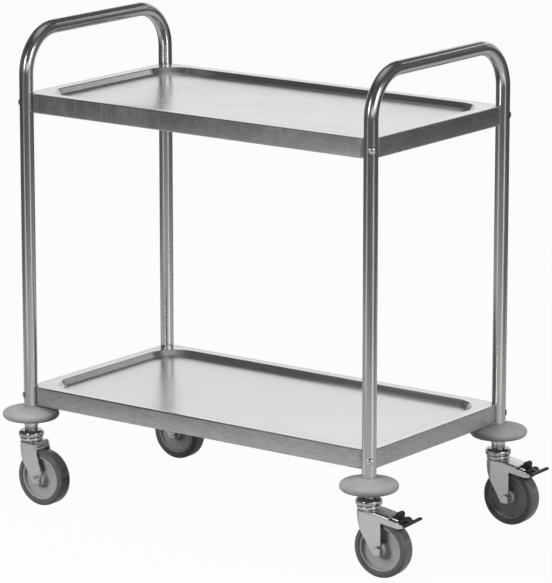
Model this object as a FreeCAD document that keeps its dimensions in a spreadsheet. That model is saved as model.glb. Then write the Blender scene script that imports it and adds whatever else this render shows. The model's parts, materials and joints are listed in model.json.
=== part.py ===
"""Two-tier serving trolley: bent tube end frames, pressed shelves and four swivel castors.

Millimetres. The floor is z = 0, +X runs along the trolley to the braked castors, the front is at -Y.
"""
import FreeCAD, Part
import math
import operator
import os
from types import SimpleNamespace

import Sketcher
from FreeCAD import Placement, Rotation, Vector

SIZES = {
    # End frames
    "leg_span_x": 750.0,
    "leg_span_y": 400.0,
    "tube_d": 25.0,
    "tube_wall": 1.2,
    "bend_r": 78.0,
    "handle_rise": 110.0,
    # Shelves
    "shelf_lift": 39.5,
    "shelf_pitch_z": 538.0,
    "apron_height": 34.5,
    "apron_offset": 3.5,
    "sheet": 1.0,
    "rim_width": 22.0,
    "rim_edge_r": 2.0,
    "deck_depth": 10.0,
    "wall_run": 6.0,
    "recess_corner_r": 25.0,
    "deck_fillet": 4.0,
    "hem": 12.0,
    "hem_corner_r": 30.0,
    "notch_gap": 0.1,
    "notch_blend": 10.0,
    # Stiffeners
    "hat_span_y": 180.0,
    "hat_width": 40.0,
    "hat_depth": 14.0,
    "hat_flange": 12.0,
    "hat_end_gap": 0.5,
    # Shelf screws
    "screw_drop": 17.0,
    "screw_d": 6.0,
    "screw_head_d": 12.7,
    "screw_head_h": 2.6,
    "screw_tail": 2.0,
    "screw_gap": 0.3,
    "seat_gap": 0.05,
    "nut_width": 10.0,
    "nut_h": 5.0,
    # Bumpers
    "bumper_d": 102.5,
    "bumper_lift": 14.4,
    "low_bumper_lift": 4.9,
    "bumper_h": 23.0,
    "bumper_edge_r": 8.0,
    "bumper_gap": 0.1,
    # Castor head
    "crown_gap": 15.5,
    "king_d": 10.0,
    "king_head_d": 20.0,
    "king_head_h": 5.0,
    "king_reach": 34.0,
    "run_gap": 0.05,
    "head_gap": 0.3,
    "lower_race_d": 42.0,
    "lower_race_h": 6.5,
    "upper_race_d": 46.0,
    "upper_race_h": 11.5,
    "race_edge_r": 2.5,
    "race_dome_r": 6.5,
    "race_gap": 0.5,
    "ball_d": 5.0,
    "ball_ring_d": 30.0,
    "collar_h": 7.5,
    "collar_inset": 0.6,
    "plug_length": 36.0,
    "plug_gap": 0.1,
    # Wheel
    "wheel_d": 102.0,
    "wheel_trail": 29.0,
    "tyre_width": 29.0,
    "tyre_depth": 11.0,
    "tyre_shoulder_r": 5.5,
    "rim_wall": 2.8,
    "rim_inset": 2.0,
    "disc_thickness": 6.0,
    "hub_d": 25.0,
    "hub_side_gap": 1.0,
    "sleeve_d": 12.0,
    "axle_d": 8.0,
    "axle_head_width": 13.0,
    "axle_head_h": 5.3,
    "axle_nut_h": 6.5,
    "axle_tail": 1.5,
    "axle_gap": 0.1,
    # Fork
    "fork_width": 41.0,
    "fork_sheet": 2.5,
    "crown_edge_r": 3.0,
    "neck_drop": 31.0,
    "neck_back": 9.0,
    "knee_drop": 55.0,
    "knee_u": 7.0,
    "tab_front": 12.0,
    "tab_rear": 5.0,
    "tab_drop": 10.0,
    "tab_r": 4.0,
    "roof_start": 20.0,
    "roof_end": 50.0,
    "arm_root_u": 33.0,
    "arm_root_drop": 18.0,
    "arm_low_drop": 23.0,
    "arm_tip_u": 80.0,
    "arm_tip_drop": 12.0,
    "arm_tip_r": 8.0,
    "crown_rear": 23.0,
    "leg_top_reach": 1.0,
    "catch_width": 20.0,
    "catch_drop": 12.0,
    # Brake pedal
    "pivot_u": 68.0,
    "pivot_drop": 16.0,
    "pin_d": 6.0,
    "pin_head_d": 9.0,
    "pin_head_h": 1.5,
    "pedal_hub_d": 13.0,
    "shoe_r": 4.0,
    "shoe_width": 20.0,
    "brake_angle": 20.0,
    "brake_gap": 0.3,
    "pedal_reach": 89.0,
    "bar_depth": 8.0,
    "bar_height": 4.5,
    "bar_width": 56.0,
    "bar_rise": 2.5,
    "stem_width": 10.0,
    "knob_u": 62.0,
    "knob_depth": 11.0,
    "knob_width": 13.0,
    "knob_rise": 18.5,
    "knob_h": 10.0,
}

# Trailing direction of each castor, in degrees from +X
HEADINGS = {"front_left": 0.0, "front_right": 5.0, "rear_left": 0.0, "rear_right": 2.0}
LEGS = {"front_left": (-1, -1), "front_right": (1, -1), "rear_left": (-1, 1), "rear_right": (1, 1)}
BRAKED = ("front_right", "rear_right")
LOW_BUMPERS = ("front_right",)
BALL_COUNT = 12
CUT_MARGIN = 5.0
NEAR = 0.05

UP = Vector(0, 0, 1)
SIDEWAYS = Vector(0, 1, 0)
DIAGONAL = math.sqrt(0.5)
OPERATIONS = {"+": operator.add, "-": operator.sub, "*": operator.mul, "/": operator.truediv}


class Size:
    """A number together with the sheet formula that gives it."""

    def __init__(self, value, formula):
        self.value = value
        self.formula = formula

    def __float__(self):
        return float(self.value)

    def __add__(self, other):
        return joined(self, "+", other)

    def __radd__(self, other):
        return joined(other, "+", self)

    def __sub__(self, other):
        return joined(self, "-", other)

    def __rsub__(self, other):
        return joined(other, "-", self)

    def __mul__(self, other):
        return joined(self, "*", other)

    def __rmul__(self, other):
        return joined(other, "*", self)

    def __truediv__(self, other):
        return joined(self, "/", other)

    def __neg__(self):
        return joined(0, "-", self)


def formula(value):
    return value.formula if isinstance(value, Size) else repr(float(value))


def joined(left, sign, right):
    value = OPERATIONS[sign](float(left), float(right))
    return Size(value, f"({formula(left)} {sign} {formula(right)})")


def root(value):
    return Size(math.sqrt(float(value)), f"sqrt({formula(value)})")


def cosine(angle):
    return Size(math.cos(math.radians(float(angle))), f"cos({formula(angle)})")


def sine(angle):
    return Size(math.sin(math.radians(float(angle))), f"sin({formula(angle)})")


def tapering(run, depth):
    """Angle of a wall that moves by run over depth."""
    angle = math.degrees(math.atan2(float(run), float(depth)))
    return Size(angle, f"atan({formula(run)} / {formula(depth)})")


doc = FreeCAD.newDocument("serving_trolley")
sheet = doc.addObject("Spreadsheet::Sheet", "Sizes")
for row, (alias, number) in enumerate(SIZES.items(), start=1):
    sheet.set(f"A{row}", alias)
    sheet.set(f"B{row}", str(number))
    sheet.setAlias(f"B{row}", alias)
doc.recompute()
s = SimpleNamespace(**{alias: Size(number, f"Sizes.{alias}") for alias, number in SIZES.items()})

# Heights above the floor, from the wheel up
axle_z = s.wheel_d / 2
crown_z = s.wheel_d + s.crown_gap
upper_race_z = crown_z + s.lower_race_h + s.race_gap
collar_z = upper_race_z + s.upper_race_h
tube_end_z = collar_z + s.collar_h
lower_rim_z = tube_end_z + s.shelf_lift + s.apron_height
upper_rim_z = lower_rim_z + s.shelf_pitch_z
handle_z = upper_rim_z + s.handle_rise

# Plan sizes; the legs stand off centre so that the whole length is centred on the origin
centre_x = (s.bumper_d / 2 - s.pedal_reach) / 2
shelf_half_x = s.leg_span_x / 2 + s.apron_offset
shelf_half_y = s.leg_span_y / 2 + s.apron_offset
tube_r = s.tube_d / 2
fork_half = s.fork_width / 2
fork_inside = fork_half - s.fork_sheet

nodes = []


def node(piece, label):
    """Names a finished sub-part and puts it on the list that is written out."""
    piece.Label = label
    nodes.append(piece)
    return piece


def bind(piece, **values):
    for name, value in values.items():
        if isinstance(value, Size):
            piece.setExpression(name, value.formula)
        else:
            setattr(piece, name, value)
    return piece


def place(piece, x=0.0, y=0.0, z=0.0, rotation=Rotation()):
    piece.Placement = Placement(Vector(float(x), float(y), float(z)), rotation)
    for axis, value in zip("xyz", (x, y, z)):
        if isinstance(value, Size):
            piece.setExpression(f"Placement.Base.{axis}", value.formula)
    return piece


def leg_position(leg):
    side_x, side_y = LEGS[leg]
    return centre_x + s.leg_span_x / 2 * side_x, s.leg_span_y / 2 * side_y


def outward(leg):
    side_x, side_y = LEGS[leg]
    return Vector(side_x * DIAGONAL, side_y * DIAGONAL, 0)


def primitive(kind, name, **values):
    return bind(doc.addObject(f"Part::{kind}", name), **values)


def cut(name, base, tool):
    return primitive("Cut", name, Base=base, Tool=tool)


def fused(name, *pieces):
    return primitive("MultiFuse", name, Shapes=list(pieces))


def group(name, pieces):
    return primitive("Compound", name, Links=list(pieces))


def new_body(name):
    return doc.addObject("PartDesign::Body", name)


def sketch_on(body, role, name):
    plane = next(item for item in body.Origin.OriginFeatures if item.Role == role)
    sketch = body.newObject("Sketcher::SketchObject", name)
    sketch.AttachmentSupport = [(plane, "")]
    sketch.MapMode = "FlatFace"
    return sketch


def constrain(sketch, kind, *items, value=None):
    if value is None:
        return sketch.addConstraint(Sketcher.Constraint(kind, *items))
    index = sketch.addConstraint(Sketcher.Constraint(kind, *items, float(value)))
    if isinstance(value, Size):
        sketch.setExpression(f"Constraints[{index}]", value.formula)
    return index


def fix_point(sketch, geometry, end, x, y):
    """Holds a point at x, y from the sketch origin."""
    for kind, axis, value in (("DistanceX", -2, x), ("DistanceY", -1, y)):
        if float(value) == 0.0:
            constrain(sketch, "PointOnObject", geometry, end, axis)
        else:
            constrain(sketch, kind, -1, 1, geometry, end, value=value)


def arc_between(start, end, radius):
    """Arc from start to end, turning left for a positive radius; says which end of the arc is the start."""
    chord = end - start
    rise = math.sqrt(max(radius * radius - chord.Length ** 2 / 4, 0.0))
    left = Vector(-chord.y, chord.x, 0).normalize()
    centre = (start + end) / 2 + left * math.copysign(rise, radius)
    first, last = (start, end) if radius > 0 else (end, start)
    angles = [math.atan2(point.y - centre.y, point.x - centre.x) for point in (first, last)]
    circle = Part.Circle(centre, UP, abs(radius))
    return Part.ArcOfCircle(circle, *angles), (1, 2) if radius > 0 else (2, 1)


def outline(sketch, points, closed=True):
    """Lines through the points; a point's third entry is the signed radius of the arc that ends there."""
    places = [Vector(float(point[0]), float(point[1]), 0) for point in points]
    last = len(points) if closed else len(points) - 1
    segments = []
    for index in range(last):
        following = (index + 1) % len(points)
        radius = points[following][2] if len(points[following]) > 2 else None
        if radius is None:
            shape, ends = Part.LineSegment(places[index], places[following]), (1, 2)
        else:
            shape, ends = arc_between(places[index], places[following], float(radius))
        segments.append((sketch.addGeometry(shape), ends, radius))
    for index, (geometry, ends, radius) in enumerate(segments):
        fix_point(sketch, geometry, ends[0], *points[index][:2])
        if radius is not None:
            size = radius if float(radius) > 0 else -radius
            constrain(sketch, "Radius", geometry, value=size)
        if index + 1 < len(segments) or closed:
            follower, its_ends, _ = segments[(index + 1) % len(segments)]
            constrain(sketch, "Coincident", geometry, ends[1], follower, its_ends[0])
    if not closed:
        geometry, ends, _ = segments[-1]
        fix_point(sketch, geometry, ends[1], *points[-1][:2])


def circle_at(sketch, x, y, radius):
    shape = Part.Circle(Vector(float(x), float(y), 0), UP, float(radius))
    geometry = sketch.addGeometry(shape)
    fix_point(sketch, geometry, 3, x, y)
    constrain(sketch, "Radius", geometry, value=radius)


def rounded_rectangle(sketch, half_x, half_y, radius):
    near_x, near_y = half_x - radius, half_y - radius
    outline(sketch, [
        (near_x, -half_y), (half_x, -near_y, radius), (half_x, near_y), (near_x, half_y, radius),
        (-near_x, half_y), (-half_x, near_y, radius), (-half_x, -near_y), (-near_x, -half_y, radius),
    ])


def feature(body, kind, name, sketch, **values):
    step = body.newObject(f"PartDesign::{kind}", name)
    step.Profile = sketch
    return bind(step, **values)


def turned(name, points):
    """Solid of revolution about Z from an outline of radius and height."""
    body = new_body(name)
    sketch = sketch_on(body, "XZ_Plane", f"{name}_section")
    outline(sketch, points)
    feature(body, "Revolution", f"{name}_turning", sketch, ReferenceAxis=(sketch, ["V_Axis"]), Angle=360.0)
    return body


def plate(body, name, points, width, kind="Pad"):
    """Side outline in u and z, added or cut evenly to both sides of the middle plane."""
    sketch = sketch_on(body, "XZ_Plane", f"{name}_outline")
    outline(sketch, points)
    return feature(body, kind, name, sketch, SideType="Symmetric", Length=width)


def drum(body, name, x, z, radius, width, kind="Pad"):
    """Round bar or hole across the middle plane."""
    sketch = sketch_on(body, "XZ_Plane", f"{name}_circle")
    circle_at(sketch, x, z, radius)
    return feature(body, kind, name, sketch, SideType="Symmetric", Length=width)


def rounded(body, name, base, chosen, radius):
    """Fillet on the edges of a finished step that the test picks."""
    doc.recompute()
    edges = [f"Edge{number}" for number, edge in enumerate(base.Shape.Edges, start=1) if chosen(edge)]
    step = body.newObject("PartDesign::Fillet", name)
    step.Base = (base, edges)
    return bind(step, Radius=radius)


def at_height(edge, height):
    box = edge.BoundBox
    return abs(box.ZMin - float(height)) < NEAR and abs(box.ZMax - float(height)) < NEAR


# End frames

def screw_hole(name, leg, height, inner):
    """Clearance hole through a leg, or through the shelf corner behind it."""
    x, y = leg_position(leg)
    start = s.tube_d if not inner else 0.0
    hole = primitive("Cylinder", name, Radius=s.screw_d / 2 + s.screw_gap, Height=s.tube_d * 2)
    side_x, side_y = LEGS[leg]
    return place(hole, x + start * side_x * DIAGONAL, y + start * side_y * DIAGONAL, height,
                 Rotation(UP, outward(leg) * -1))


def frame_tube(label, side):
    half, top = s.leg_span_y / 2, handle_z - tube_end_z
    body = new_body(f"{label}_bend")
    section = sketch_on(body, "XY_Plane", f"{label}_section")
    circle_at(section, 0, -half, tube_r)
    circle_at(section, 0, -half, tube_r - s.tube_wall)
    route = sketch_on(body, "YZ_Plane", f"{label}_route")
    outline(route, [
        (-half, 0), (-half, top - s.bend_r), (-half + s.bend_r, top, -s.bend_r),
        (half - s.bend_r, top), (half, top - s.bend_r, -s.bend_r), (half, 0),
    ], closed=False)
    feature(body, "AdditivePipe", f"{label}_pipe", section, Spine=route)
    place(body, centre_x + s.leg_span_x / 2 * side, 0, tube_end_z)
    holes = [screw_hole(f"{label}_{leg}_{shelf}_hole", leg, rim_z - s.screw_drop, False)
             for leg, (side_x, _) in LEGS.items() if side_x == side
             for shelf, rim_z in (("lower", lower_rim_z), ("upper", upper_rim_z))]
    node(cut(f"{label}_drilled", body, fused(f"{label}_holes", *holes)), label)


# Shelves

def shelf_block(name, inset, base_z, height):
    """Shelf plan with hollow corners round the legs, drawn in by inset, with a rounded top edge."""
    half_x, half_y = shelf_half_x - inset, shelf_half_y - inset
    body = new_body(name)
    plan = sketch_on(body, "XY_Plane", f"{name}_plan")
    outline(plan, [(-half_x, -half_y), (half_x, -half_y), (half_x, half_y), (-half_x, half_y)])
    feature(body, "Pad", f"{name}_pad", plan, Length=height)
    corners = sketch_on(body, "XY_Plane", f"{name}_corners")
    for side_x, side_y in LEGS.values():
        circle_at(corners, s.leg_span_x / 2 * side_x, s.leg_span_y / 2 * side_y, tube_r + s.notch_gap + inset)
    notches = feature(body, "Pocket", f"{name}_notches", corners, Type="ThroughAll", Reversed=True)

    def on_corner(edge):
        box = edge.BoundBox
        upright = box.XLength < NEAR and box.YLength < NEAR
        across = abs(abs(box.XMin) - float(half_x)) < NEAR or abs(abs(box.YMin) - float(half_y)) < NEAR
        return upright and across

    blends = rounded(body, f"{name}_blends", notches, on_corner, s.notch_blend - inset)
    rounded(body, f"{name}_edge", blends, lambda edge: at_height(edge, height), s.rim_edge_r - inset)
    return place(body, centre_x, 0, base_z)


def shelf_pan(name, spread, rim_z, depth):
    """Sunk deck with sloping walls, widened by spread to give the outer face of the sheet."""
    body = new_body(name)
    mouth = sketch_on(body, "XY_Plane", f"{name}_mouth")
    drawn_in = s.rim_width - spread
    rounded_rectangle(mouth, shelf_half_x - drawn_in, shelf_half_y - drawn_in, s.recess_corner_r + spread)
    sunk = feature(body, "Pad", f"{name}_sunk", mouth, Length=depth, Reversed=True,
                   TaperAngle=tapering(-s.wall_run, s.deck_depth))
    rounded(body, f"{name}_foot", sunk, lambda edge: at_height(edge, -depth), s.deck_fillet + spread)
    return place(body, centre_x, 0, rim_z)


def shelf(label, rim_z):
    low_z = rim_z - s.apron_height
    outside = shelf_block(f"{label}_outside", 0.0, low_z, s.apron_height)
    inside = shelf_block(f"{label}_inside", s.sheet, low_z + s.sheet, s.apron_height - s.sheet * 2)
    recess = shelf_pan(f"{label}_recess", 0.0, rim_z, s.deck_depth)
    deck = shelf_pan(f"{label}_deck", s.sheet, rim_z, s.deck_depth + s.sheet)
    opening = new_body(f"{label}_opening")
    hem = sketch_on(opening, "XY_Plane", f"{label}_hem")
    drawn_in = s.sheet + s.hem
    rounded_rectangle(hem, shelf_half_x - drawn_in, shelf_half_y - drawn_in, s.hem_corner_r)
    feature(opening, "Pad", f"{label}_hem_cut", hem, Length=s.sheet * 2)
    place(opening, centre_x, 0, low_z)
    hollow = cut(f"{label}_hollow", inside, deck)
    holes = [screw_hole(f"{label}_{leg}_corner_hole", leg, rim_z - s.screw_drop, True) for leg in LEGS]
    pressed = cut(f"{label}_pressed", outside, fused(f"{label}_space", recess, hollow, opening, *holes))
    finished = new_body(f"{label}_sheet")
    finished.BaseFeature = pressed
    mouth_x, mouth_y = shelf_half_x - s.rim_width, shelf_half_y - s.rim_width

    def on_mouth(edge):
        box = edge.BoundBox
        inner = max(abs(box.XMin - float(centre_x)), abs(box.XMax - float(centre_x))) < float(mouth_x) + NEAR
        return at_height(edge, rim_z) and inner and max(abs(box.YMin), abs(box.YMax)) < float(mouth_y) + NEAR

    doc.recompute()
    rounded(finished, f"{label}_mouth_edge", finished.Group[0], on_mouth, s.rim_edge_r)
    node(finished, label)


def stiffeners(label, rim_z):
    """Two folded hat sections that lie against the underside of the deck."""
    edge, crest, gauge = s.hat_width / 2 + s.hat_flange, s.hat_width / 2, s.sheet
    floor = -s.hat_depth
    hats = []
    for side in (-1, 1):
        name = f"{label}_{'front' if side < 0 else 'rear'}"
        body = new_body(name)
        section = sketch_on(body, "YZ_Plane", f"{name}_section")
        outline(section, [
            (-edge, 0), (-edge, -gauge), (-crest, -gauge), (-crest, floor), (crest, floor), (crest, -gauge),
            (edge, -gauge), (edge, 0), (crest - gauge, 0), (crest - gauge, floor + gauge),
            (gauge - crest, floor + gauge), (gauge - crest, 0),
        ])
        length = (shelf_half_x - s.rim_width - s.wall_run - s.deck_fillet - s.hat_end_gap) * 2
        feature(body, "Pad", f"{name}_fold", section, SideType="Symmetric", Length=length)
        hats.append(place(body, centre_x, s.hat_span_y / 2 * side, rim_z - s.deck_depth - s.sheet))
    node(group(f"{label}_pair", hats), label)


def screws_and_nuts():
    """Dome-headed screws through the legs, each with a nut behind the shelf corner."""
    head_r, rise = s.screw_head_d / 2, s.screw_head_h
    dome_r = (head_r * head_r + rise * rise) / (rise * 2)
    nut_seat = tube_r + s.notch_gap + s.sheet + s.seat_gap
    length = tube_r + s.seat_gap + nut_seat + s.nut_h + s.screw_tail
    screws, nuts = [], []
    for leg, (side_x, side_y) in LEGS.items():
        x, y = leg_position(leg)
        inward = Rotation(UP, outward(leg) * -1)
        for shelf_name, rim_z in (("lower", lower_rim_z), ("upper", upper_rim_z)):
            name = f"{leg}_{shelf_name}"
            height = rim_z - s.screw_drop
            screw = turned(f"{name}_screw", [
                (0, -rise), (head_r, 0, dome_r), (s.screw_d / 2, 0), (s.screw_d / 2, length), (0, length),
            ])
            out = (tube_r + s.seat_gap) * DIAGONAL
            screws.append(place(screw, x + out * side_x, y + out * side_y, height, inward))
            hexagon = primitive("Prism", f"{name}_nut_hexagon", Polygon=6, Height=s.nut_h,
                                Circumradius=s.nut_width / 2 / cosine(30))
            bore = primitive("Cylinder", f"{name}_nut_bore", Height=s.nut_h,
                             Radius=s.screw_d / 2 + s.seat_gap)
            nut = cut(f"{name}_nut", hexagon, bore)
            back = nut_seat * DIAGONAL
            nuts.append(place(nut, x - back * side_x, y - back * side_y, height, inward))
    node(group("screw_set", screws), "shelf_screws")
    node(group("nut_set", nuts), "shelf_nuts")


def bumper(leg):
    """Disc with a full round edge that runs smoothly into a flat dome."""
    lift = s.low_bumper_lift if leg in LOW_BUMPERS else s.bumper_lift
    bore, edge, top = tube_r + s.bumper_gap, s.bumper_edge_r, s.bumper_h
    rim = s.bumper_d / 2
    ring = rim - edge
    dome_r = (ring * ring + (top - edge) * (top - edge) - edge * edge) / ((top - edge * 2) * 2)
    dome_z, share = top - dome_r, dome_r / (dome_r - edge)
    disc = turned(f"{leg}_bumper_disc", [
        (bore, 0), (ring, 0), (rim, edge, edge), (ring * share, dome_z + (edge - dome_z) * share, edge),
        (bore, dome_z + root(dome_r * dome_r - bore * bore), dome_r),
    ])
    node(place(disc, *leg_position(leg), tube_end_z + lift), f"{leg}_bumper")


# Castors, drawn with u backwards from the swivel axis and z up from the floor

def insert(name):
    plug_r, bore = tube_r - s.tube_wall - s.plug_gap, s.king_d / 2 + s.run_gap
    neck, lead = tube_r - s.collar_inset, s.collar_h / 4
    top = tube_end_z + s.plug_length
    return turned(name, [
        (bore, collar_z), (neck, collar_z), (neck, tube_end_z), (plug_r, tube_end_z),
        (plug_r, top - lead), (plug_r - lead, top), (bore, top),
    ])


def king_bolt(name):
    head_top = crown_z - s.fork_sheet - s.head_gap
    shank = s.king_d / 2
    top = collar_z + s.king_reach
    return turned(name, [
        (0, head_top - s.king_head_h), (s.king_head_d / 2, head_top - s.king_head_h),
        (s.king_head_d / 2, head_top), (shank, head_top), (shank, top), (0, top),
    ])


def race(name, low_z, height, diameter, top_r, ball_z):
    """Ring with rounded edges and a ball groove in the face that meets the other race."""
    bore, rim, edge = s.king_d / 2 + s.run_gap, diameter / 2, s.race_edge_r
    ring = turned(f"{name}_ring", [
        (bore, low_z), (rim - edge, low_z), (rim, low_z + edge, edge), (rim, low_z + height - top_r),
        (rim - top_r, low_z + height, top_r), (bore, low_z + height),
    ])
    groove = primitive("Torus", f"{name}_groove", Radius1=s.ball_ring_d / 2,
                       Radius2=s.ball_d / 2 + s.run_gap)
    place(groove, 0, 0, ball_z)
    return cut(name, ring, groove)


def balls(name, ball_z):
    spheres = []
    for index in range(BALL_COUNT):
        turn = math.tau * index / BALL_COUNT
        ball = primitive("Sphere", f"{name}_{index}", Radius=s.ball_d / 2)
        ring_r = s.ball_ring_d / 2
        spheres.append(place(ball, ring_r * math.cos(turn), ring_r * math.sin(turn), ball_z))
    return group(name, spheres)


def fork_plan(sketch, half, rear):
    """Round front about the swivel axis and straight sides to the rear."""
    outline(sketch, [(rear, half), (0, half), (-half, 0, half), (0, -half, half), (rear, -half)])


def fork(name, braked):
    """Pressed fork: round-fronted crown and two legs, cut to its side outline and hollowed for the wheel."""
    body = new_body(name)
    rear = s.arm_tip_u if braked else s.wheel_trail + s.tab_front
    plan = sketch_on(body, "XY_Plane", f"{name}_plan")
    fork_plan(plan, fork_half, rear)
    blank = feature(body, "Pad", f"{name}_blank", plan, Length=crown_z)
    rounded(body, f"{name}_shoulder", blank,
            lambda edge: at_height(edge, crown_z) and edge.BoundBox.XMin < float(rear) - NEAR, s.crown_edge_r)

    low_z = axle_z - s.tab_drop
    front, back = s.wheel_trail - s.tab_front, s.wheel_trail + s.tab_rear
    leg_front = [
        (-fork_half - CUT_MARGIN, crown_z + CUT_MARGIN), (-fork_half - CUT_MARGIN, crown_z - s.fork_sheet),
        (-fork_half, crown_z - s.fork_sheet), (-s.neck_back, crown_z - s.neck_drop),
        (s.knee_u, crown_z - s.knee_drop), (front, low_z + s.tab_r), (front + s.tab_r, low_z, s.tab_r),
        (back - s.tab_r, low_z), (back, low_z + s.tab_r, s.tab_r),
    ]
    if braked:
        leg_rear = [
            (s.arm_root_u, crown_z - s.arm_root_drop), (s.pivot_u, crown_z - s.arm_low_drop),
            (s.arm_tip_u, crown_z - s.arm_low_drop + s.arm_tip_r, s.arm_tip_r),
            (s.arm_tip_u, crown_z - s.arm_tip_drop), (s.roof_start, crown_z),
            (s.roof_start, crown_z + CUT_MARGIN),
        ]
    else:
        leg_top_u = s.crown_rear + s.leg_top_reach
        leg_rear = [
            (back + s.tab_r, axle_z + s.tab_front), (leg_top_u, crown_z), (leg_top_u, crown_z + CUT_MARGIN),
        ]
    side = sketch_on(body, "XZ_Plane", f"{name}_side")
    outline(side, leg_front + leg_rear)
    ahead, beyond, above = -fork_half - CUT_MARGIN * 2, rear + CUT_MARGIN, crown_z + CUT_MARGIN * 2
    outline(side, [(ahead, -CUT_MARGIN), (beyond, -CUT_MARGIN), (beyond, above), (ahead, above)])
    feature(body, "Pocket", f"{name}_sides", side, SideType="Symmetric", Length=s.fork_width + CUT_MARGIN)

    under = crown_z - s.fork_sheet
    well = sketch_on(body, "XY_Plane", f"{name}_well")
    fork_plan(well, fork_inside, s.roof_start)
    feature(body, "Pocket", f"{name}_crown", well, Length=under, Reversed=True)
    if braked:
        fall = s.arm_tip_drop / (s.arm_tip_u - s.roof_start)
        roof_z = under - fall * (s.roof_end - s.roof_start)
        ceiling = [(s.roof_start, under), (s.roof_end, roof_z), (s.roof_end, crown_z + CUT_MARGIN),
                   (beyond, crown_z + CUT_MARGIN)]
    else:
        ceiling = [(s.roof_start, under), (s.crown_rear, under), (s.crown_rear, crown_z + CUT_MARGIN),
                   (beyond, crown_z + CUT_MARGIN)]
    plate(body, f"{name}_gap", ceiling + [(beyond, -CUT_MARGIN), (s.roof_start, -CUT_MARGIN)],
          fork_inside * 2, "Pocket")
    king = sketch_on(body, "XY_Plane", f"{name}_king")
    circle_at(king, 0, 0, s.king_d / 2 + s.run_gap)
    feature(body, "Pocket", f"{name}_king_hole", king, Type="ThroughAll", Reversed=True)
    drum(body, f"{name}_axle_holes", s.wheel_trail, axle_z, s.axle_d / 2 + s.axle_gap,
         s.fork_width + CUT_MARGIN, "Pocket")
    if braked:
        drum(body, f"{name}_pin_holes", s.pivot_u, crown_z - s.pivot_drop, s.pin_d / 2 + s.run_gap,
             s.fork_width + CUT_MARGIN, "Pocket")
    else:
        plate(body, f"{name}_catch", [
            (s.crown_rear - s.fork_sheet, crown_z - s.catch_drop), (s.crown_rear, crown_z - s.catch_drop),
            (s.crown_rear, crown_z), (s.crown_rear - s.fork_sheet, crown_z),
        ], s.catch_width)
    return body


def axle_bolt(name):
    """Hexagon bolt along Z, centred on the wheel's middle plane, head below."""
    head = primitive("Prism", f"{name}_head", Polygon=6, Height=s.axle_head_h,
                     Circumradius=s.axle_head_width / 2 / cosine(30))
    place(head, 0, 0, -fork_half - s.axle_head_h)
    shank = primitive("Cylinder", f"{name}_shank", Radius=s.axle_d / 2,
                      Height=s.fork_width + s.axle_nut_h + s.axle_tail)
    place(shank, 0, 0, -fork_half)
    return fused(name, head, shank)


def axle_nut(name):
    hexagon = primitive("Prism", f"{name}_hexagon", Polygon=6, Height=s.axle_nut_h,
                        Circumradius=s.axle_head_width / 2 / cosine(30))
    bore = primitive("Cylinder", f"{name}_bore", Radius=s.axle_d / 2 + s.axle_gap, Height=s.axle_nut_h)
    for piece in (hexagon, bore):
        place(piece, 0, 0, fork_half)
    return cut(name, hexagon, bore)


def axle_sleeve(name):
    inner, outer, end = s.axle_d / 2 + s.axle_gap, s.sleeve_d / 2, fork_inside
    return turned(name, [(inner, -end), (outer, -end), (outer, end), (inner, end)])


def wheel(name):
    """Rim, thin disc and hub in one piece."""
    bore, hub, rim = s.sleeve_d / 2 + s.run_gap, s.hub_d / 2, s.wheel_d / 2 - s.tyre_depth
    hub_end, disc = fork_inside - s.hub_side_gap, s.disc_thickness / 2
    rim_end, rim_in, bevel = s.tyre_width / 2 - s.rim_inset, rim - s.rim_wall, s.rim_wall / 2
    side = [(bore, hub_end), (hub - s.rim_inset, hub_end), (hub, hub_end - s.rim_inset), (hub, disc * 2),
            (hub + disc, disc, disc), (rim_in - disc, disc), (rim_in, disc * 2, disc),
            (rim_in, rim_end - bevel), (rim_in + bevel, rim_end), (rim, rim_end)]
    lower = [(radius, -height, *arc) for radius, height, *arc in side]
    outer = list(reversed(side))
    upper = [outer[0][:2]]
    for before, point in zip(outer, outer[1:]):
        upper.append((*point[:2], *before[2:]))
    return turned(name, lower + upper)


def tyre(name):
    tread, shoulder = s.wheel_d / 2, s.tyre_shoulder_r
    seat = tread - s.tyre_depth
    side, rim_end = s.tyre_width / 2, s.tyre_width / 2 - s.rim_inset
    return turned(name, [
        (seat, -rim_end), (seat + s.rim_inset, -side), (tread - shoulder, -side),
        (tread, shoulder - side, shoulder), (tread, side - shoulder), (tread - shoulder, side, shoulder),
        (seat + s.rim_inset, side), (seat, rim_end),
    ])


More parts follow.
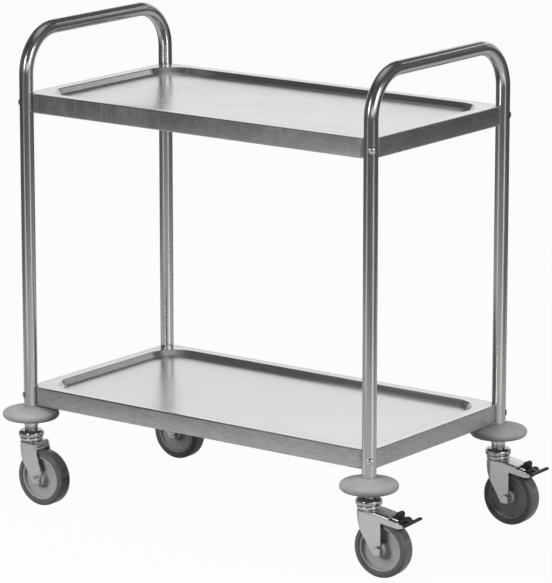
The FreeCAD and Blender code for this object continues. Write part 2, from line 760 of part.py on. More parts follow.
def pedal(name):
    """Rocker: cross bar outside the arms, knob inside, and a cam that closes on the tyre when pressed."""
    body = new_body(name)
    pivot_u, pivot_z = s.pivot_u, crown_z - s.pivot_drop
    to_u, to_z = s.wheel_trail - pivot_u, axle_z - pivot_z
    span = root(to_u * to_u + to_z * to_z)
    reach = (span - s.wheel_d / 2 - s.brake_gap - s.shoe_r) / span
    swing_cos, swing_sin = cosine(s.brake_angle), sine(s.brake_angle)
    cam_u = (to_u * swing_cos - to_z * swing_sin) * reach
    cam_z = (to_u * swing_sin + to_z * swing_cos) * reach
    shoe_u, shoe_z = pivot_u + cam_u, pivot_z + cam_z
    hub_width = (fork_inside - s.hub_side_gap) * 2
    hub_r, half_stem = s.pedal_hub_d / 2, s.bar_height / 2
    bar_in, bar_z = s.pedal_reach - s.bar_depth, pivot_z + s.bar_rise
    knob_z = pivot_z + s.knob_rise
    knob_in, knob_out = s.knob_u - s.knob_depth / 2, s.knob_u + s.knob_depth / 2
    drum(body, f"{name}_hub", pivot_u, pivot_z, hub_r, hub_width)
    drum(body, f"{name}_shoe", shoe_u, shoe_z, s.shoe_r, s.shoe_width)
    half_web = half_stem / (span * reach)
    off_u, off_z = cam_z * half_web, -cam_u * half_web
    plate(body, f"{name}_web", [
        (pivot_u + off_u, pivot_z + off_z), (shoe_u + off_u, shoe_z + off_z),
        (shoe_u - off_u, shoe_z - off_z), (pivot_u - off_u, pivot_z - off_z),
    ], s.shoe_width)
    plate(body, f"{name}_stem", [
        (pivot_u - hub_r / 2, pivot_z), (pivot_u, pivot_z - half_stem),
        (bar_in + half_stem, bar_z - half_stem), (bar_in + half_stem, bar_z + half_stem),
        (pivot_u + half_stem, pivot_z + hub_r - half_stem / 2),
        (knob_out, knob_z - s.knob_h), (knob_out, knob_z - s.knob_h / 2), (knob_in, knob_z - s.knob_h / 2),
        (knob_in, knob_z - s.knob_h),
    ], s.stem_width)
    plate(body, f"{name}_bar", [
        (bar_in, bar_z, half_stem), (bar_in + half_stem, bar_z - half_stem, half_stem),
        (s.pedal_reach - half_stem, bar_z - half_stem), (s.pedal_reach, bar_z, half_stem),
        (s.pedal_reach - half_stem, bar_z + half_stem, half_stem), (bar_in + half_stem, bar_z + half_stem),
    ], s.bar_width)
    half_knob = s.knob_h / 2
    plate(body, f"{name}_knob", [
        (knob_in, knob_z - half_knob, half_knob), (knob_in + half_knob, knob_z - s.knob_h, half_knob),
        (knob_out - half_knob, knob_z - s.knob_h), (knob_out, knob_z - half_knob, half_knob),
        (knob_out - half_knob, knob_z, half_knob), (knob_in + half_knob, knob_z),
    ], s.knob_width)
    drum(body, f"{name}_pin_hole", pivot_u, pivot_z, s.pin_d / 2 + s.run_gap, hub_width + CUT_MARGIN,
         "Pocket")
    return body


def pivot_pin(name):
    body = new_body(name)
    pivot = (s.pivot_u, crown_z - s.pivot_drop)
    full = s.fork_width + s.pin_head_h * 2
    drum(body, f"{name}_shank", *pivot, s.pin_d / 2, full)
    for side, sign in (("near", 1), ("far", -1)):
        sketch = sketch_on(body, "XZ_Plane", f"{name}_{side}")
        circle_at(sketch, *pivot, s.pin_head_d / 2)
        sketch.setExpression("AttachmentOffset.Base.z", (fork_half * sign).formula)
        feature(body, "Pad", f"{name}_{side}_head", sketch, Length=s.pin_head_h, Reversed=sign < 0)
    return body


def castor(leg):
    x, y = leg_position(leg)
    heading = HEADINGS[leg]
    turn = Rotation(UP, heading)
    ball_z = upper_race_z - s.race_gap / 2
    braked = leg in BRAKED
    pieces = {
        "insert": insert(f"{leg}_insert_plug"),
        "king_bolt": king_bolt(f"{leg}_king"),
        "upper_race": race(f"{leg}_upper", upper_race_z, s.upper_race_h, s.upper_race_d, s.race_dome_r,
                           ball_z),
        "balls": balls(f"{leg}_ball", ball_z),
        "lower_race": race(f"{leg}_lower", crown_z, s.lower_race_h, s.lower_race_d, s.race_edge_r,
                           ball_z),
        "fork": fork(f"{leg}_pressing", braked),
    }
    if braked:
        pieces["pedal"] = pedal(f"{leg}_rocker")
        pieces["pivot_pin"] = pivot_pin(f"{leg}_pin")
    for part_name, piece in pieces.items():
        node(place(piece, x, y, 0, turn), f"{leg}_{part_name}")
    axle_x = x + s.wheel_trail * math.cos(math.radians(heading))
    axle_y = y + s.wheel_trail * math.sin(math.radians(heading))
    across = turn * Rotation(UP, SIDEWAYS * (1 if braked else -1))
    on_axle = {
        "axle_bolt": axle_bolt(f"{leg}_bolt"), "axle_nut": axle_nut(f"{leg}_nut"),
        "axle_sleeve": axle_sleeve(f"{leg}_sleeve"), "wheel": wheel(f"{leg}_rim"),
        "tyre": tyre(f"{leg}_tread"),
    }
    for part_name, piece in on_axle.items():
        node(place(piece, axle_x, axle_y, axle_z, across), f"{leg}_{part_name}")


def build():
    frame_tube("left_frame_tube", -1)
    frame_tube("right_frame_tube", 1)
    for level, rim_z in (("lower", lower_rim_z), ("upper", upper_rim_z)):
        shelf(f"{level}_shelf", rim_z)
        stiffeners(f"{level}_shelf_stiffeners", rim_z)
    screws_and_nuts()
    for leg in LEGS:
        bumper(leg)
        castor(leg)
    doc.recompute()


def check():
    failed = [item.Name for item in doc.Objects if {"Invalid", "Error"} & set(item.State)]
    failed += [piece.Label for piece in nodes if piece.Shape.isNull() or not piece.Shape.isValid()]
    if failed:
        raise RuntimeError("failed: " + ", ".join(failed))


build()
check()
os.makedirs("parts", exist_ok=True)
for piece in nodes:
    piece.Shape.exportStep(f"parts/{piece.Label}.step")
    print(f"{piece.Label}: {len(piece.Shape.Solids)} solid(s), {piece.Shape.Volume:.1f} mm3")
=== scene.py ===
"""Two-tier serving trolley in stainless steel, with its finishes, studio and camera."""
import json
import math

import bpy
import numpy as np
from bpy.props import FloatProperty, FloatVectorProperty, PointerProperty
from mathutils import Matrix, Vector


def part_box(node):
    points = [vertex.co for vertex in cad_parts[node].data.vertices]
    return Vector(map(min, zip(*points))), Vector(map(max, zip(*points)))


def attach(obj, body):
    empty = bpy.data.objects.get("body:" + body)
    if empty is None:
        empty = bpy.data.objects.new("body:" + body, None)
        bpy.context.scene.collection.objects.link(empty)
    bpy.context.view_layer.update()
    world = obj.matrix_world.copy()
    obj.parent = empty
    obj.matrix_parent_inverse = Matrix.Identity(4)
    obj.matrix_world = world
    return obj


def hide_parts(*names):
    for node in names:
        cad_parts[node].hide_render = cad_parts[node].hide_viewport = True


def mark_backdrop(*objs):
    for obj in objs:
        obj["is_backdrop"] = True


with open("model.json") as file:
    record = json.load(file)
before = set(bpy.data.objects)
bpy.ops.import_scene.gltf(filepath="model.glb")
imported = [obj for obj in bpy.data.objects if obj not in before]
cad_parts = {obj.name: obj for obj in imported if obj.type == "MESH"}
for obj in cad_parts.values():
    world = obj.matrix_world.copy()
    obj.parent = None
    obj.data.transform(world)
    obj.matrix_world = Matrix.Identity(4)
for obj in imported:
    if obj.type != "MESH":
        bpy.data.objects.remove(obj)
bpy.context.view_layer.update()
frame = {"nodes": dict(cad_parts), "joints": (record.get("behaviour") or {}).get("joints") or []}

bl_info = {
    "name": "Serving trolley",
    "version": (1, 0, 0),
    "blender": (4, 5, 0),
    "location": "View3D > Sidebar > Trolley",
    "description": "Dresses a two-tier serving trolley on swivel castors and sets it in a plain studio",
    "category": "Object",
}

MM = 0.001
UP = (0, 0, 1)
LEGS = ("front_left", "front_right", "rear_left", "rear_right")
BRAKED = ("front_right", "rear_right")
SHELVES = ("lower", "upper")
JOINTS = {joint["name"]: joint for joint in frame["joints"]}

# Points nearer than this are one point
MERGE_DISTANCE = 1e-6
# Least step, turn and size that count as more than none
LEAST_STEP, LEAST_TURN, LEAST_SIZE = 1e-7, 1e-6, 1e-9
# Edges with a greater turn than this are sharp
SHARP_TURN = math.radians(35)


def linear(code):
    """sRGB hex colour as linear red, green, blue and alpha."""
    srgb = np.array([int(code[at:at + 2], 16) for at in (0, 2, 4)]) / 255
    curve = np.where(srgb <= 0.04045, srgb / 12.92, ((srgb + 0.055) / 1.055) ** 2.4)
    return (*curve.tolist(), 1.0)


def length(label, words, millimetres):
    """Length property, written in millimetres and kept in metres."""
    return FloatProperty(name=label, description=words, default=millimetres * MM, min=0.0, unit="LENGTH",
                         precision=5)


def colour(label, words, code):
    """Colour property from an sRGB hex colour."""
    return FloatVectorProperty(name=label, description=words, subtype="COLOR", size=4, min=0.0, max=1.0,
                               default=linear(code))


class TrolleyFrameSizes(bpy.types.PropertyGroup):
    """Sizes of the tubes, shelves and their screws."""

    tube_wall: length("Tube wall", "Wall thickness of the bent tubes", 1.2)
    bend_radius: length("Bend radius", "Radius of the tube bends at the handles, on the tube's axis", 78)
    sheet: length("Sheet", "Thickness of the shelf sheet", 1.0)
    rim_width: length("Rim width", "Flat rim from the apron to the mouth of the deck", 22)
    edge_radius: length("Edge radius", "Rounding of the pressed edges of the rim", 2.6)
    hem: length("Hem", "Width of the hem folded in under the apron", 12)
    hem_radius: length("Hem radius", "Corner radius of the opening inside the hem", 30)
    deck_depth: length("Deck depth", "How far the deck lies under the rim", 10)
    wall_run: length("Wall run", "How far the deck's wall leans in on its way down", 6)
    mouth_radius: length("Mouth radius", "Corner radius of the deck's mouth", 58)
    deck_fillet: length("Deck fillet", "Radius where the wall runs out into the deck", 2)
    notch_gap: length("Notch gap", "Clearance of the hollow corner round the leg", 0.1)
    notch_blend: length("Notch blend", "Radius from the apron into the hollow corner", 10)
    screw_diameter: length("Screw diameter", "Shank of the shelf screws", 6)
    screw_head: length("Screw head", "Diameter of the domed screw head", 12.7)
    screw_rise: length("Screw rise", "Height of the domed screw head", 2.6)
    screw_drop: length("Screw drop", "Depth of the screw axis under the rim", 17)
    recess_arm: length("Recess arm", "Length of one arm of the cross recess", 3.6)
    recess_width: length("Recess width", "Width of the arms of the cross recess", 1.7)
    recess_depth: length("Recess depth", "Depth of the cross recess at its middle", 2.0)


class TrolleyCastorSizes(bpy.types.PropertyGroup):
    """Sizes of the bumpers and castors."""

    bumper_edge: length("Bumper edge", "Radius of the full round edge of the bumper", 8)
    bumper_dome: length("Bumper dome", "Radius that sets the dome's rise from the bore to the axis", 145)
    bumper_gap: length("Bumper gap", "Clearance of the bumper's bore round the leg", 0.1)
    race_edge: length("Race edge", "Rounding of the bearing races", 2.5)
    race_dome: length("Race dome", "Rounding over the top of the upper race", 6.5)
    king_bore: length("King bore", "Bore of the races for the king bolt", 10.1)
    tyre_width: length("Tyre width", "Width of the tyre", 29)
    tyre_depth: length("Tyre depth", "Depth of the tyre from tread to rim", 11)
    shoulder: length("Tyre shoulder", "Rounding of the tyre's shoulders", 5.5)
    rim_wall: length("Rim wall", "Thickness of the wheel's rim", 2.8)
    rim_inset: length("Rim inset", "How far the rim stands back from the tyre's side", 2)
    disc: length("Disc", "Thickness of the wheel's disc", 6)
    hub_diameter: length("Hub", "Diameter of the wheel's hub", 25)
    hub_gap: length("Hub gap", "Gap between the hub and the fork", 1)
    bore_diameter: length("Bore", "Diameter of the bore in the hub", 12.1)
    nut_width: length("Nut width", "Width across the flats of the axle nut and bolt head", 13)
    nut_height: length("Nut height", "Height of the axle nut", 6.5)
    head_height: length("Head height", "Height of the axle bolt's head", 5.3)
    axle_diameter: length("Axle", "Diameter of the axle bolt", 8)
    axle_tail: length("Axle tail", "Length of the axle bolt beyond its nut", 1.5)
    fork_width: length("Fork width", "Width over the fork's legs", 41)
    fork_sheet: length("Fork sheet", "Thickness of the fork's sheet", 2.5)
    fork_bend: length("Fork bend", "Outer radius of the bend from the crown into the legs", 4)
    roof_start: length("Roof start", "How far behind the swivel axis a braked fork's roof starts to fall", 20)
    roof_end: length("Roof end", "How far behind the swivel axis a braked fork's roof ends", 50)
    crown_end: length("Crown end", "How far behind the swivel axis a plain fork's crown ends", 23)
    catch_width: length("Catch width", "Width of the tab turned down at the rear of a plain fork's crown", 20)
    catch_drop: length("Catch drop", "Length of that tab", 12)


class TrolleyFinishes(bpy.types.PropertyGroup):
    """Colours of the materials."""

    tube_steel: colour("Tube", "Polished stainless tube", "D6D6D4")
    sheet_steel: colour("Deck", "Brushed stainless sheet of the decks and rims", "EDEDEB")
    # The aprons are the decks' own sheet; their darker tint is painted shade
    shaded_apron_steel: colour("Apron", "Coarser brushed stainless sheet of the aprons", "C6C6C4")
    bright_plate: colour("Bright screws", "Nickel-plated screws", "DEDEDC")
    zinc: colour("Zinc", "Zinc-plated pressings", "DCDCDA")
    insert: colour("Insert", "Darker steel of the castor inserts and king bolts", "A0A09E")
    bearing: colour("Bearing steel", "Chromed bearing races", "C0C0BE")
    bumper: colour("Bumper", "Grey moulded bumper", "989896")
    wheel: colour("Wheel", "Grey moulded wheel", "A2A2A0")
    tyre: colour("Tyre", "Grey rubber tyre", "5A5A58")
    pedal: colour("Pedal", "Black moulded pedal", "1E1E1E")
    floor: colour("Floor", "Pale studio floor", "8C8C8A")


class TrolleySettings(bpy.types.PropertyGroup):
    """All that the trolley's operators read."""

    frame: PointerProperty(type=TrolleyFrameSizes)
    castor: PointerProperty(type=TrolleyCastorSizes)
    finish: PointerProperty(type=TrolleyFinishes)


# Surfaces

def grid_quads(rows, columns, around=True):
    """Quads of a grid of points numbered row by row; around joins the last column to the first."""
    last = columns if around else columns - 1
    row, column = np.meshgrid(np.arange(rows - 1), np.arange(last), indexing="ij")
    after = (column + 1) % columns
    here, above = row * columns, (row + 1) * columns
    corners = [here + column, here + after, above + after, above + column]
    return np.stack(corners, axis=-1).reshape(-1, 4)


def rounded_line(corners, steps=6, closed=True):
    """Corner points with a radius each, every corner replaced by an arc that touches both its sides.

    The arc's centre lies on the corner's bisector at radius / sin(half the corner's angle), and its points
    turn evenly from one tangent point to the other.
    """
    table = np.array([(*corner, 0.0)[:3] for corner in corners], float)
    points, radius = table[:, :2], table[:, 2:]
    back, ahead = np.roll(points, 1, axis=0) - points, np.roll(points, -1, axis=0) - points
    if not closed:
        back[0], ahead[-1] = -ahead[0], -back[-1]
    back /= np.linalg.norm(back, axis=1, keepdims=True)
    ahead /= np.linalg.norm(ahead, axis=1, keepdims=True)
    half = np.arccos(np.clip((back * ahead).sum(1, keepdims=True), -1, 1)) / 2
    turn = np.maximum(math.pi - 2 * half, LEAST_TURN)
    reach = radius / np.tan(half)
    bisector = back + ahead
    size = np.linalg.norm(bisector, axis=1, keepdims=True)
    bisector = np.where(size > LEAST_SIZE, bisector / np.maximum(size, LEAST_SIZE), 0)
    centre = points + bisector * radius / np.sin(half)
    first, last = points + back * reach - centre, points + ahead * reach - centre
    part = np.linspace(0, 1, steps)[None, :, None]
    turn = turn[:, None]
    arcs = (first[:, None] * np.sin((1 - part) * turn) + last[:, None] * np.sin(part * turn)) / np.sin(turn)
    line = (centre[:, None] + arcs).reshape(-1, 2)
    step = np.linalg.norm(line - np.roll(line, 1, axis=0), axis=1)
    keep = step > LEAST_STEP
    keep[0] = keep[0] or not closed
    return line[keep]


def turned(profile, columns=96, closed=True):
    """Surface of revolution: each profile point (radius, height) runs round the axis in even steps."""
    profile = np.vstack([profile, profile[:1]]) if closed else profile
    angle = np.linspace(0, math.tau, columns, endpoint=False)
    radius, height = profile[:, :1], np.broadcast_to(profile[:, 1:], (len(profile), columns))
    points = np.stack([radius * np.cos(angle), radius * np.sin(angle), height], axis=-1)
    return points.reshape(-1, 3), grid_quads(len(profile), columns)


def hexagonal(profile, width, columns=96):
    """Turned blank cut to a hexagon: at each angle the lesser radius of the profile and the hexagon."""
    angle = np.linspace(0, math.tau, columns, endpoint=False)
    flat = (angle + math.pi / 6) % (math.pi / 3) - math.pi / 6
    radius = np.minimum(profile[:, :1], width / 2 / np.cos(flat))
    height = np.broadcast_to(profile[:, 1:], radius.shape)
    points = np.stack([radius * np.cos(angle), radius * np.sin(angle), height], axis=-1)
    return points.reshape(-1, 3), grid_quads(len(profile), columns)


def placed(points, origin, along_x, along_y, along_z):
    """Points of a piece's own axes carried to the trolley's frame."""
    return np.asarray(origin, float) + points @ np.array([along_x, along_y, along_z], float)


def joined(*surfaces):
    """Several surfaces as one list of points and one list of quads."""
    counts = np.cumsum([0] + [len(points) for points, _ in surfaces])
    return (np.vstack([points for points, _ in surfaces]),
            np.vstack([quads + start for (_, quads), start in zip(surfaces, counts)]))


def new_piece(name, surface, materials, body, nodes=(), uv=None, solid=0.0, shell=True, marks=None):
    """Mesh object at the origin from points and quads, riding on a body in place of CAD nodes.

    Points that fall together are merged, a wall is given its thickness inwards, and strong turns are sharp
    edges. materials is one material or a list, and marks gives the number of each quad's material in it.
    """
    points, quads = surface
    mesh = bpy.data.meshes.new(name)
    mesh.vertices.add(len(points))
    mesh.vertices.foreach_set("co", points.astype(np.float32).ravel())
    mesh.loops.add(quads.size)
    mesh.loops.foreach_set("vertex_index", quads.astype(np.int32).ravel())
    mesh.polygons.add(len(quads))
    mesh.polygons.foreach_set("loop_start", np.arange(0, quads.size, 4, dtype=np.int32))
    mesh.polygons.foreach_set("use_smooth", np.ones(len(quads), bool))
    for material in materials if isinstance(materials, (list, tuple)) else [materials]:
        mesh.materials.append(material)
    if marks is not None:
        mesh.polygons.foreach_set("material_index", marks.astype(np.int32))
    mesh.update(calc_edges=True)
    if uv is not None:
        layer = mesh.uv_layers.new(name="Surface")
        layer.data.foreach_set("uv", uv.astype(np.float32).ravel())
    piece = bpy.data.objects.new(name, mesh)
    bpy.context.collection.objects.link(piece)
    bpy.context.view_layer.objects.active = piece
    bpy.ops.object.select_all(action="DESELECT")
    piece.select_set(True)
    bpy.ops.object.mode_set(mode="EDIT")
    bpy.ops.mesh.select_all(action="SELECT")
    bpy.ops.mesh.remove_doubles(threshold=MERGE_DISTANCE)
    bpy.ops.mesh.dissolve_degenerate(threshold=LEAST_STEP)
    if shell:
        bpy.ops.mesh.select_all(action="SELECT")
        bpy.ops.mesh.normals_make_consistent(inside=False)
    bpy.ops.object.mode_set(mode="OBJECT")
    if solid:
        wall = piece.modifiers.new("Wall", "SOLIDIFY")
        wall.thickness, wall.offset, wall.use_even_offset = solid, -1.0, True
        bpy.ops.object.modifier_apply(modifier=wall.name)
    mesh.set_sharp_from_angle(angle=SHARP_TURN)
    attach(piece, body)
    if nodes:
        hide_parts(*nodes)
    return piece


def paint(nodes, material):
    """Gives CAD nodes that stay in view their finish."""
    for name in nodes:
        slots = frame["nodes"][name].data.materials
        slots.clear()
        slots.append(material)


def middle(node):
    """Middle, half sizes, lowest and highest corner of a CAD node."""
    low, high = (np.array(corner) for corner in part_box(node))
    return (low + high) / 2, (high - low) / 2, low, high


def castor_axes(leg):
    """Swivel point, axle point and the castor's directions: backwards and across."""
    swivel = np.array(JOINTS[f"{leg}_swivel"]["pos_m"], float)
    axle = np.array(JOINTS[f"{leg}_wheel_spin"]["pos_m"], float)
    across = np.array(JOINTS[f"{leg}_wheel_spin"]["axis"], float)
    back = np.cross(across, UP)
    return swivel, axle, back, across


# Materials

def add(tree, kind, inputs=None, **settings):
    """Adds a node with its settings; inputs takes a value or another node's output for each socket."""
    node = tree.nodes.new(kind)
    for name, value in settings.items():
        setattr(node, name, value)
    for socket, value in (inputs or {}).items():
        if isinstance(value, bpy.types.NodeSocket):
            tree.links.new(value, node.inputs[socket])
        else:
            node.inputs[socket].default_value = value
    return node


def new_material(name):
    """Empty node material and its tree."""
    material = bpy.data.materials.new(name)
    material.use_nodes = True
    material.node_tree.nodes.clear()
    return material, material.node_tree


# Part of its range that most of a noise fills; the product of two noises lies lower
NOISE_SPAN, PRODUCT_SPAN = (0.3, 0.7), (0.12, 0.42)
# Lengths of drawn-out noise along each axis, and sizes of round patches
TUBE_LINES, HANDLING_MARKS = (180 * MM, 1.5 * MM, 1.5 * MM), (14 * MM, 14 * MM, 5 * MM)
SHEET_PATCHES, MOULD_CLOUDS = 90 * MM, 25 * MM
# Depth of fine and of cloudy relief, and how far a moulding's tint and roughness change
FINE_RELIEF, CLOUDY_RELIEF, MOULD_TINT, MOULD_GLOSS = 0.1 * MM, 0.2 * MM, 0.07, 0.06


def streaks(tree, vector, size):
    """Noise drawn out into lines; size is the grain's length along each axis."""
    scaled = add(tree, "ShaderNodeMapping", {"Vector": vector, "Scale": [1 / side for side in size]})
    return add(tree, "ShaderNodeTexNoise", {
        "Vector": scaled.outputs[0], "Scale": 1.0, "Detail": 3.0, "Roughness": 0.6}).outputs[0]


def mottled(tree, tint, noise, share):
    """Tint that the noise makes lighter and darker by up to a share."""
    shade = add(tree, "ShaderNodeMapRange", {
        "Value": noise, "From Min": NOISE_SPAN[0], "From Max": NOISE_SPAN[1],
        "To Min": 1 - share, "To Max": 1 + share})
    mixed = add(tree, "ShaderNodeMix", {"Factor": 1.0, 6: tint, 7: shade.outputs[0]}, data_type="RGBA",
                blend_type="MULTIPLY")
    return mixed.outputs[2]


def surfaced(tree, base, gloss, relief, span=NOISE_SPAN, **sockets):
    """Ends a material in a shader whose roughness and slight relief follow noise.

    gloss holds a noise and the roughness at its low and high end, relief a noise, its strength and its depth.
    """
    noise, least, most = gloss
    rough = add(tree, "ShaderNodeMapRange", {
        "Value": noise, "From Min": span[0], "From Max": span[1], "To Min": least, "To Max": most})
    height, strength, depth = relief
    bump = add(tree, "ShaderNodeBump", {"Height": height, "Strength": strength, "Distance": depth})
    shader = add(tree, "ShaderNodeBsdfPrincipled", {
        "Base Color": base, "Roughness": rough.outputs[0], "Normal": bump.outputs[0], **sockets})
    add(tree, "ShaderNodeOutputMaterial", {"Surface": shader.outputs[0]})


def polished_tube(name, tint):
    """Stainless tube, polished lengthwise: clear reflections drawn out by fine lines along the tube.

    The real polishing lines are about 0.1 mm apart; they are drawn wider so that they show.
    """
    material, tree = new_material(name)
    uv = add(tree, "ShaderNodeUVMap", uv_map="Surface")
    lines = streaks(tree, uv.outputs[0], TUBE_LINES)
    surfaced(tree, tint, (lines, 0.15, 0.25), (lines, 0.04, FINE_RELIEF), Metallic=1.0)
    return material


def brushed_sheet(name, tint, bright, dull, size, wear):
    """Stainless sheet with a brushed grain of the given size, faint streaks and handling marks.

    The real grain is about 0.2 mm wide; it is drawn some millimetres wide so that it shows. wear is the share
    by which the handling marks change the tint.
    """
    material, tree = new_material(name)
    place = add(tree, "ShaderNodeTexCoord").outputs["Object"]
    grain = streaks(tree, place, size)
    patches = add(tree, "ShaderNodeTexNoise", {"Vector": place, "Scale": 1 / SHEET_PATCHES, "Detail": 2.0})
    worn = add(tree, "ShaderNodeMath", {0: grain, 1: patches.outputs[0]}, operation="MULTIPLY")
    marks = streaks(tree, place, HANDLING_MARKS)
    surfaced(tree, mottled(tree, tint, marks, wear), (worn.outputs[0], bright, dull),
             (grain, 0.02, FINE_RELIEF), span=PRODUCT_SPAN, Metallic=1.0)
    return material


def plated_steel(name, tint, bright, dull, grain):
    """Plated steel part: a thin metal coat whose gloss changes in small cloudy patches of the given grain."""
    material, tree = new_material(name)
    place = add(tree, "ShaderNodeTexCoord").outputs["Object"]
    clouds = add(tree, "ShaderNodeTexNoise", {"Vector": place, "Scale": 1 / grain, "Detail": 1.0}).outputs[0]
    surfaced(tree, tint, (clouds, bright, dull), (clouds, 0.01, CLOUDY_RELIEF), Metallic=1.0)
    return material


def moulded(name, tint, rough, grit, strength):
    """Moulded plastic or rubber: a slightly clouded colour, and the mould's fine skin of the given grit."""
    material, tree = new_material(name)
    place = add(tree, "ShaderNodeTexCoord").outputs["Object"]
    skin = add(tree, "ShaderNodeTexNoise", {"Vector": place, "Scale": 1 / grit, "Detail": 3.0}).outputs[0]
    clouds = add(tree, "ShaderNodeTexNoise", {"Vector": place, "Scale": 1 / MOULD_CLOUDS, "Detail": 2.0})
    surfaced(tree, mottled(tree, tint, clouds.outputs[0], MOULD_TINT),
             (skin, rough - MOULD_GLOSS, rough + MOULD_GLOSS), (skin, strength, FINE_RELIEF), IOR=1.5)
    return material


def finish(context, name):
    """Material of that name, made the first time that a piece asks for it.

    Each row gives the maker, the tint and the maker's other values in its own order.
    """
    tints = context.scene.trolley.finish
    makers = {
        "polished stainless tube": (polished_tube, tints.tube_steel),
        "brushed stainless deck": (
            brushed_sheet, tints.sheet_steel, 0.20, 0.26, (160 * MM, 2 * MM, 2 * MM), 0.015),
        # The aprons' row is a darker copy of the deck's steel, with rougher, coarser grain: its darker tint
        # is painted shade
        "brushed stainless apron": (
            brushed_sheet, tints.shaded_apron_steel, 0.30, 0.46, (5 * MM, 5 * MM, 30 * MM), 0.12),
        "nickel-plated screw": (plated_steel, tints.bright_plate, 0.12, 0.22, 4 * MM),
        "zinc-plated pressing": (plated_steel, tints.zinc, 0.22, 0.32, 6 * MM),
        "bright zinc fastener": (plated_steel, tints.zinc, 0.10, 0.20, 3 * MM),
        "dark castor steel": (plated_steel, tints.insert, 0.14, 0.24, 3 * MM),
        "chromed bearing steel": (plated_steel, tints.bearing, 0.09, 0.16, 5 * MM),
        "moulded bumper": (moulded, tints.bumper, 0.5, 1.2 * MM, 0.12),
        "moulded wheel": (moulded, tints.wheel, 0.30, 1.0 * MM, 0.06),
        "rubber tyre": (moulded, tints.tyre, 0.22, 1.4 * MM, 0.05),
        "black moulded nylon": (moulded, tints.pedal, 0.45, 0.8 * MM, 0.12),
    }
    maker, *values = makers[name]
    return bpy.data.materials.get(name) or maker(name, *values)


# Pieces

def tube_surface(centre_x, half_y, low_z, top_z, radius, bend, steps=25, sides=64):
    """Circle carried along one bent tube.

    The axis goes up one leg, round a quarter bend, across the handle, round the other bend and down. With the
    turn t from 0 to 180 degrees, the section's own direction is (-cos t, sin t) in the plane of the legs.
    """
    quarter = np.linspace(0, math.pi / 2, steps)
    lean = np.concatenate([[0], quarter, quarter + math.pi / 2, [math.pi]])
    rise, fall = bend * np.sin(quarter), bend * np.cos(quarter)
    axis_y = np.concatenate([[-half_y], -half_y + bend - fall, half_y - bend + rise, [half_y]])
    axis_z = np.concatenate([[low_z], top_z - bend + rise, top_z - bend + fall, [low_z]])
    around = np.linspace(0, math.tau, sides, endpoint=False)[None, :]
    out = radius * np.cos(around)
    x = centre_x + radius * np.sin(around) + 0 * lean[:, None]
    y = axis_y[:, None] - out * np.cos(lean)[:, None]
    z = axis_z[:, None] + out * np.sin(lean)[:, None]
    points = np.stack([x, y, z], axis=-1).reshape(-1, 3)
    run = np.concatenate([[0], np.cumsum(np.hypot(np.diff(axis_y), np.diff(axis_z)))])
    quads = grid_quads(len(lean), around.size)
    row, column = np.divmod(np.arange(len(quads)), around.size)
    arc = radius * math.tau / around.size
    corner_row, corner_column = row[:, None] + [0, 0, 1, 1], column[:, None] + [0, 1, 1, 0]
    uv = np.stack([run[corner_row], corner_column * arc], axis=-1)
    return (points, quads), uv


def shelf_outline(half_x, half_y, leg_x, leg_y, notch, blend, inset, steps=14):
    """Plan of the apron with hollow corners round the legs, drawn in by inset.

    In each corner a blend circle touches the straight side from inside and the notch circle from outside: its
    centre is one blend radius in from the side and notch + blend away from the leg's axis. The other corners
    mirror that one.
    """
    side, hollow, round_r = (half_x - inset, half_y - inset), notch + inset, blend - inset
    reach = hollow + round_r
    front_y = side[1] - round_r
    front_x = leg_x - math.sqrt(reach ** 2 - (leg_y - front_y) ** 2)
    end_x = side[0] - round_r
    end_y = leg_y - math.sqrt(reach ** 2 - (leg_x - end_x) ** 2)
    to_front = math.atan2(front_y - leg_y, front_x - leg_x)
    to_end = math.atan2(end_y - leg_y, end_x - leg_x)
    first = np.linspace(math.pi / 2, to_front % math.tau - math.pi, steps)
    notch_turn = np.linspace(to_front % math.tau, to_end % math.tau, steps)
    last = np.linspace(to_end % math.tau - math.pi, 0, steps)
    corner = np.vstack([
        np.column_stack([front_x + round_r * np.cos(first), front_y + round_r * np.sin(first)]),
        np.column_stack([leg_x + hollow * np.cos(notch_turn), leg_y + hollow * np.sin(notch_turn)]),
        np.column_stack([end_x + round_r * np.cos(last), end_y + round_r * np.sin(last)]),
    ])
    return four_corners(corner)


def four_corners(corner):
    """Loop, clockwise from above, from the corner at +X +Y, which runs from its +Y side to its +X side."""
    return np.vstack([corner, (corner * (1, -1))[::-1], corner * (-1, -1), (corner * (-1, 1))[::-1]])


def round_outline(half_x, half_y, radius, count):
    """Rounded rectangle with as many points in each corner arc as the apron's plan has."""
    angle = np.linspace(math.pi / 2, 0, count)
    return four_corners(np.column_stack([half_x - radius + radius * np.cos(angle),
                                         half_y - radius + radius * np.sin(angle)]))


# Points along each bend of the shelf, loops from the deck's edge to its middle, and least corner radius
BEND_STEPS, DECK_LOOPS, LEAST_CORNER = 7, 8, 4 * MM


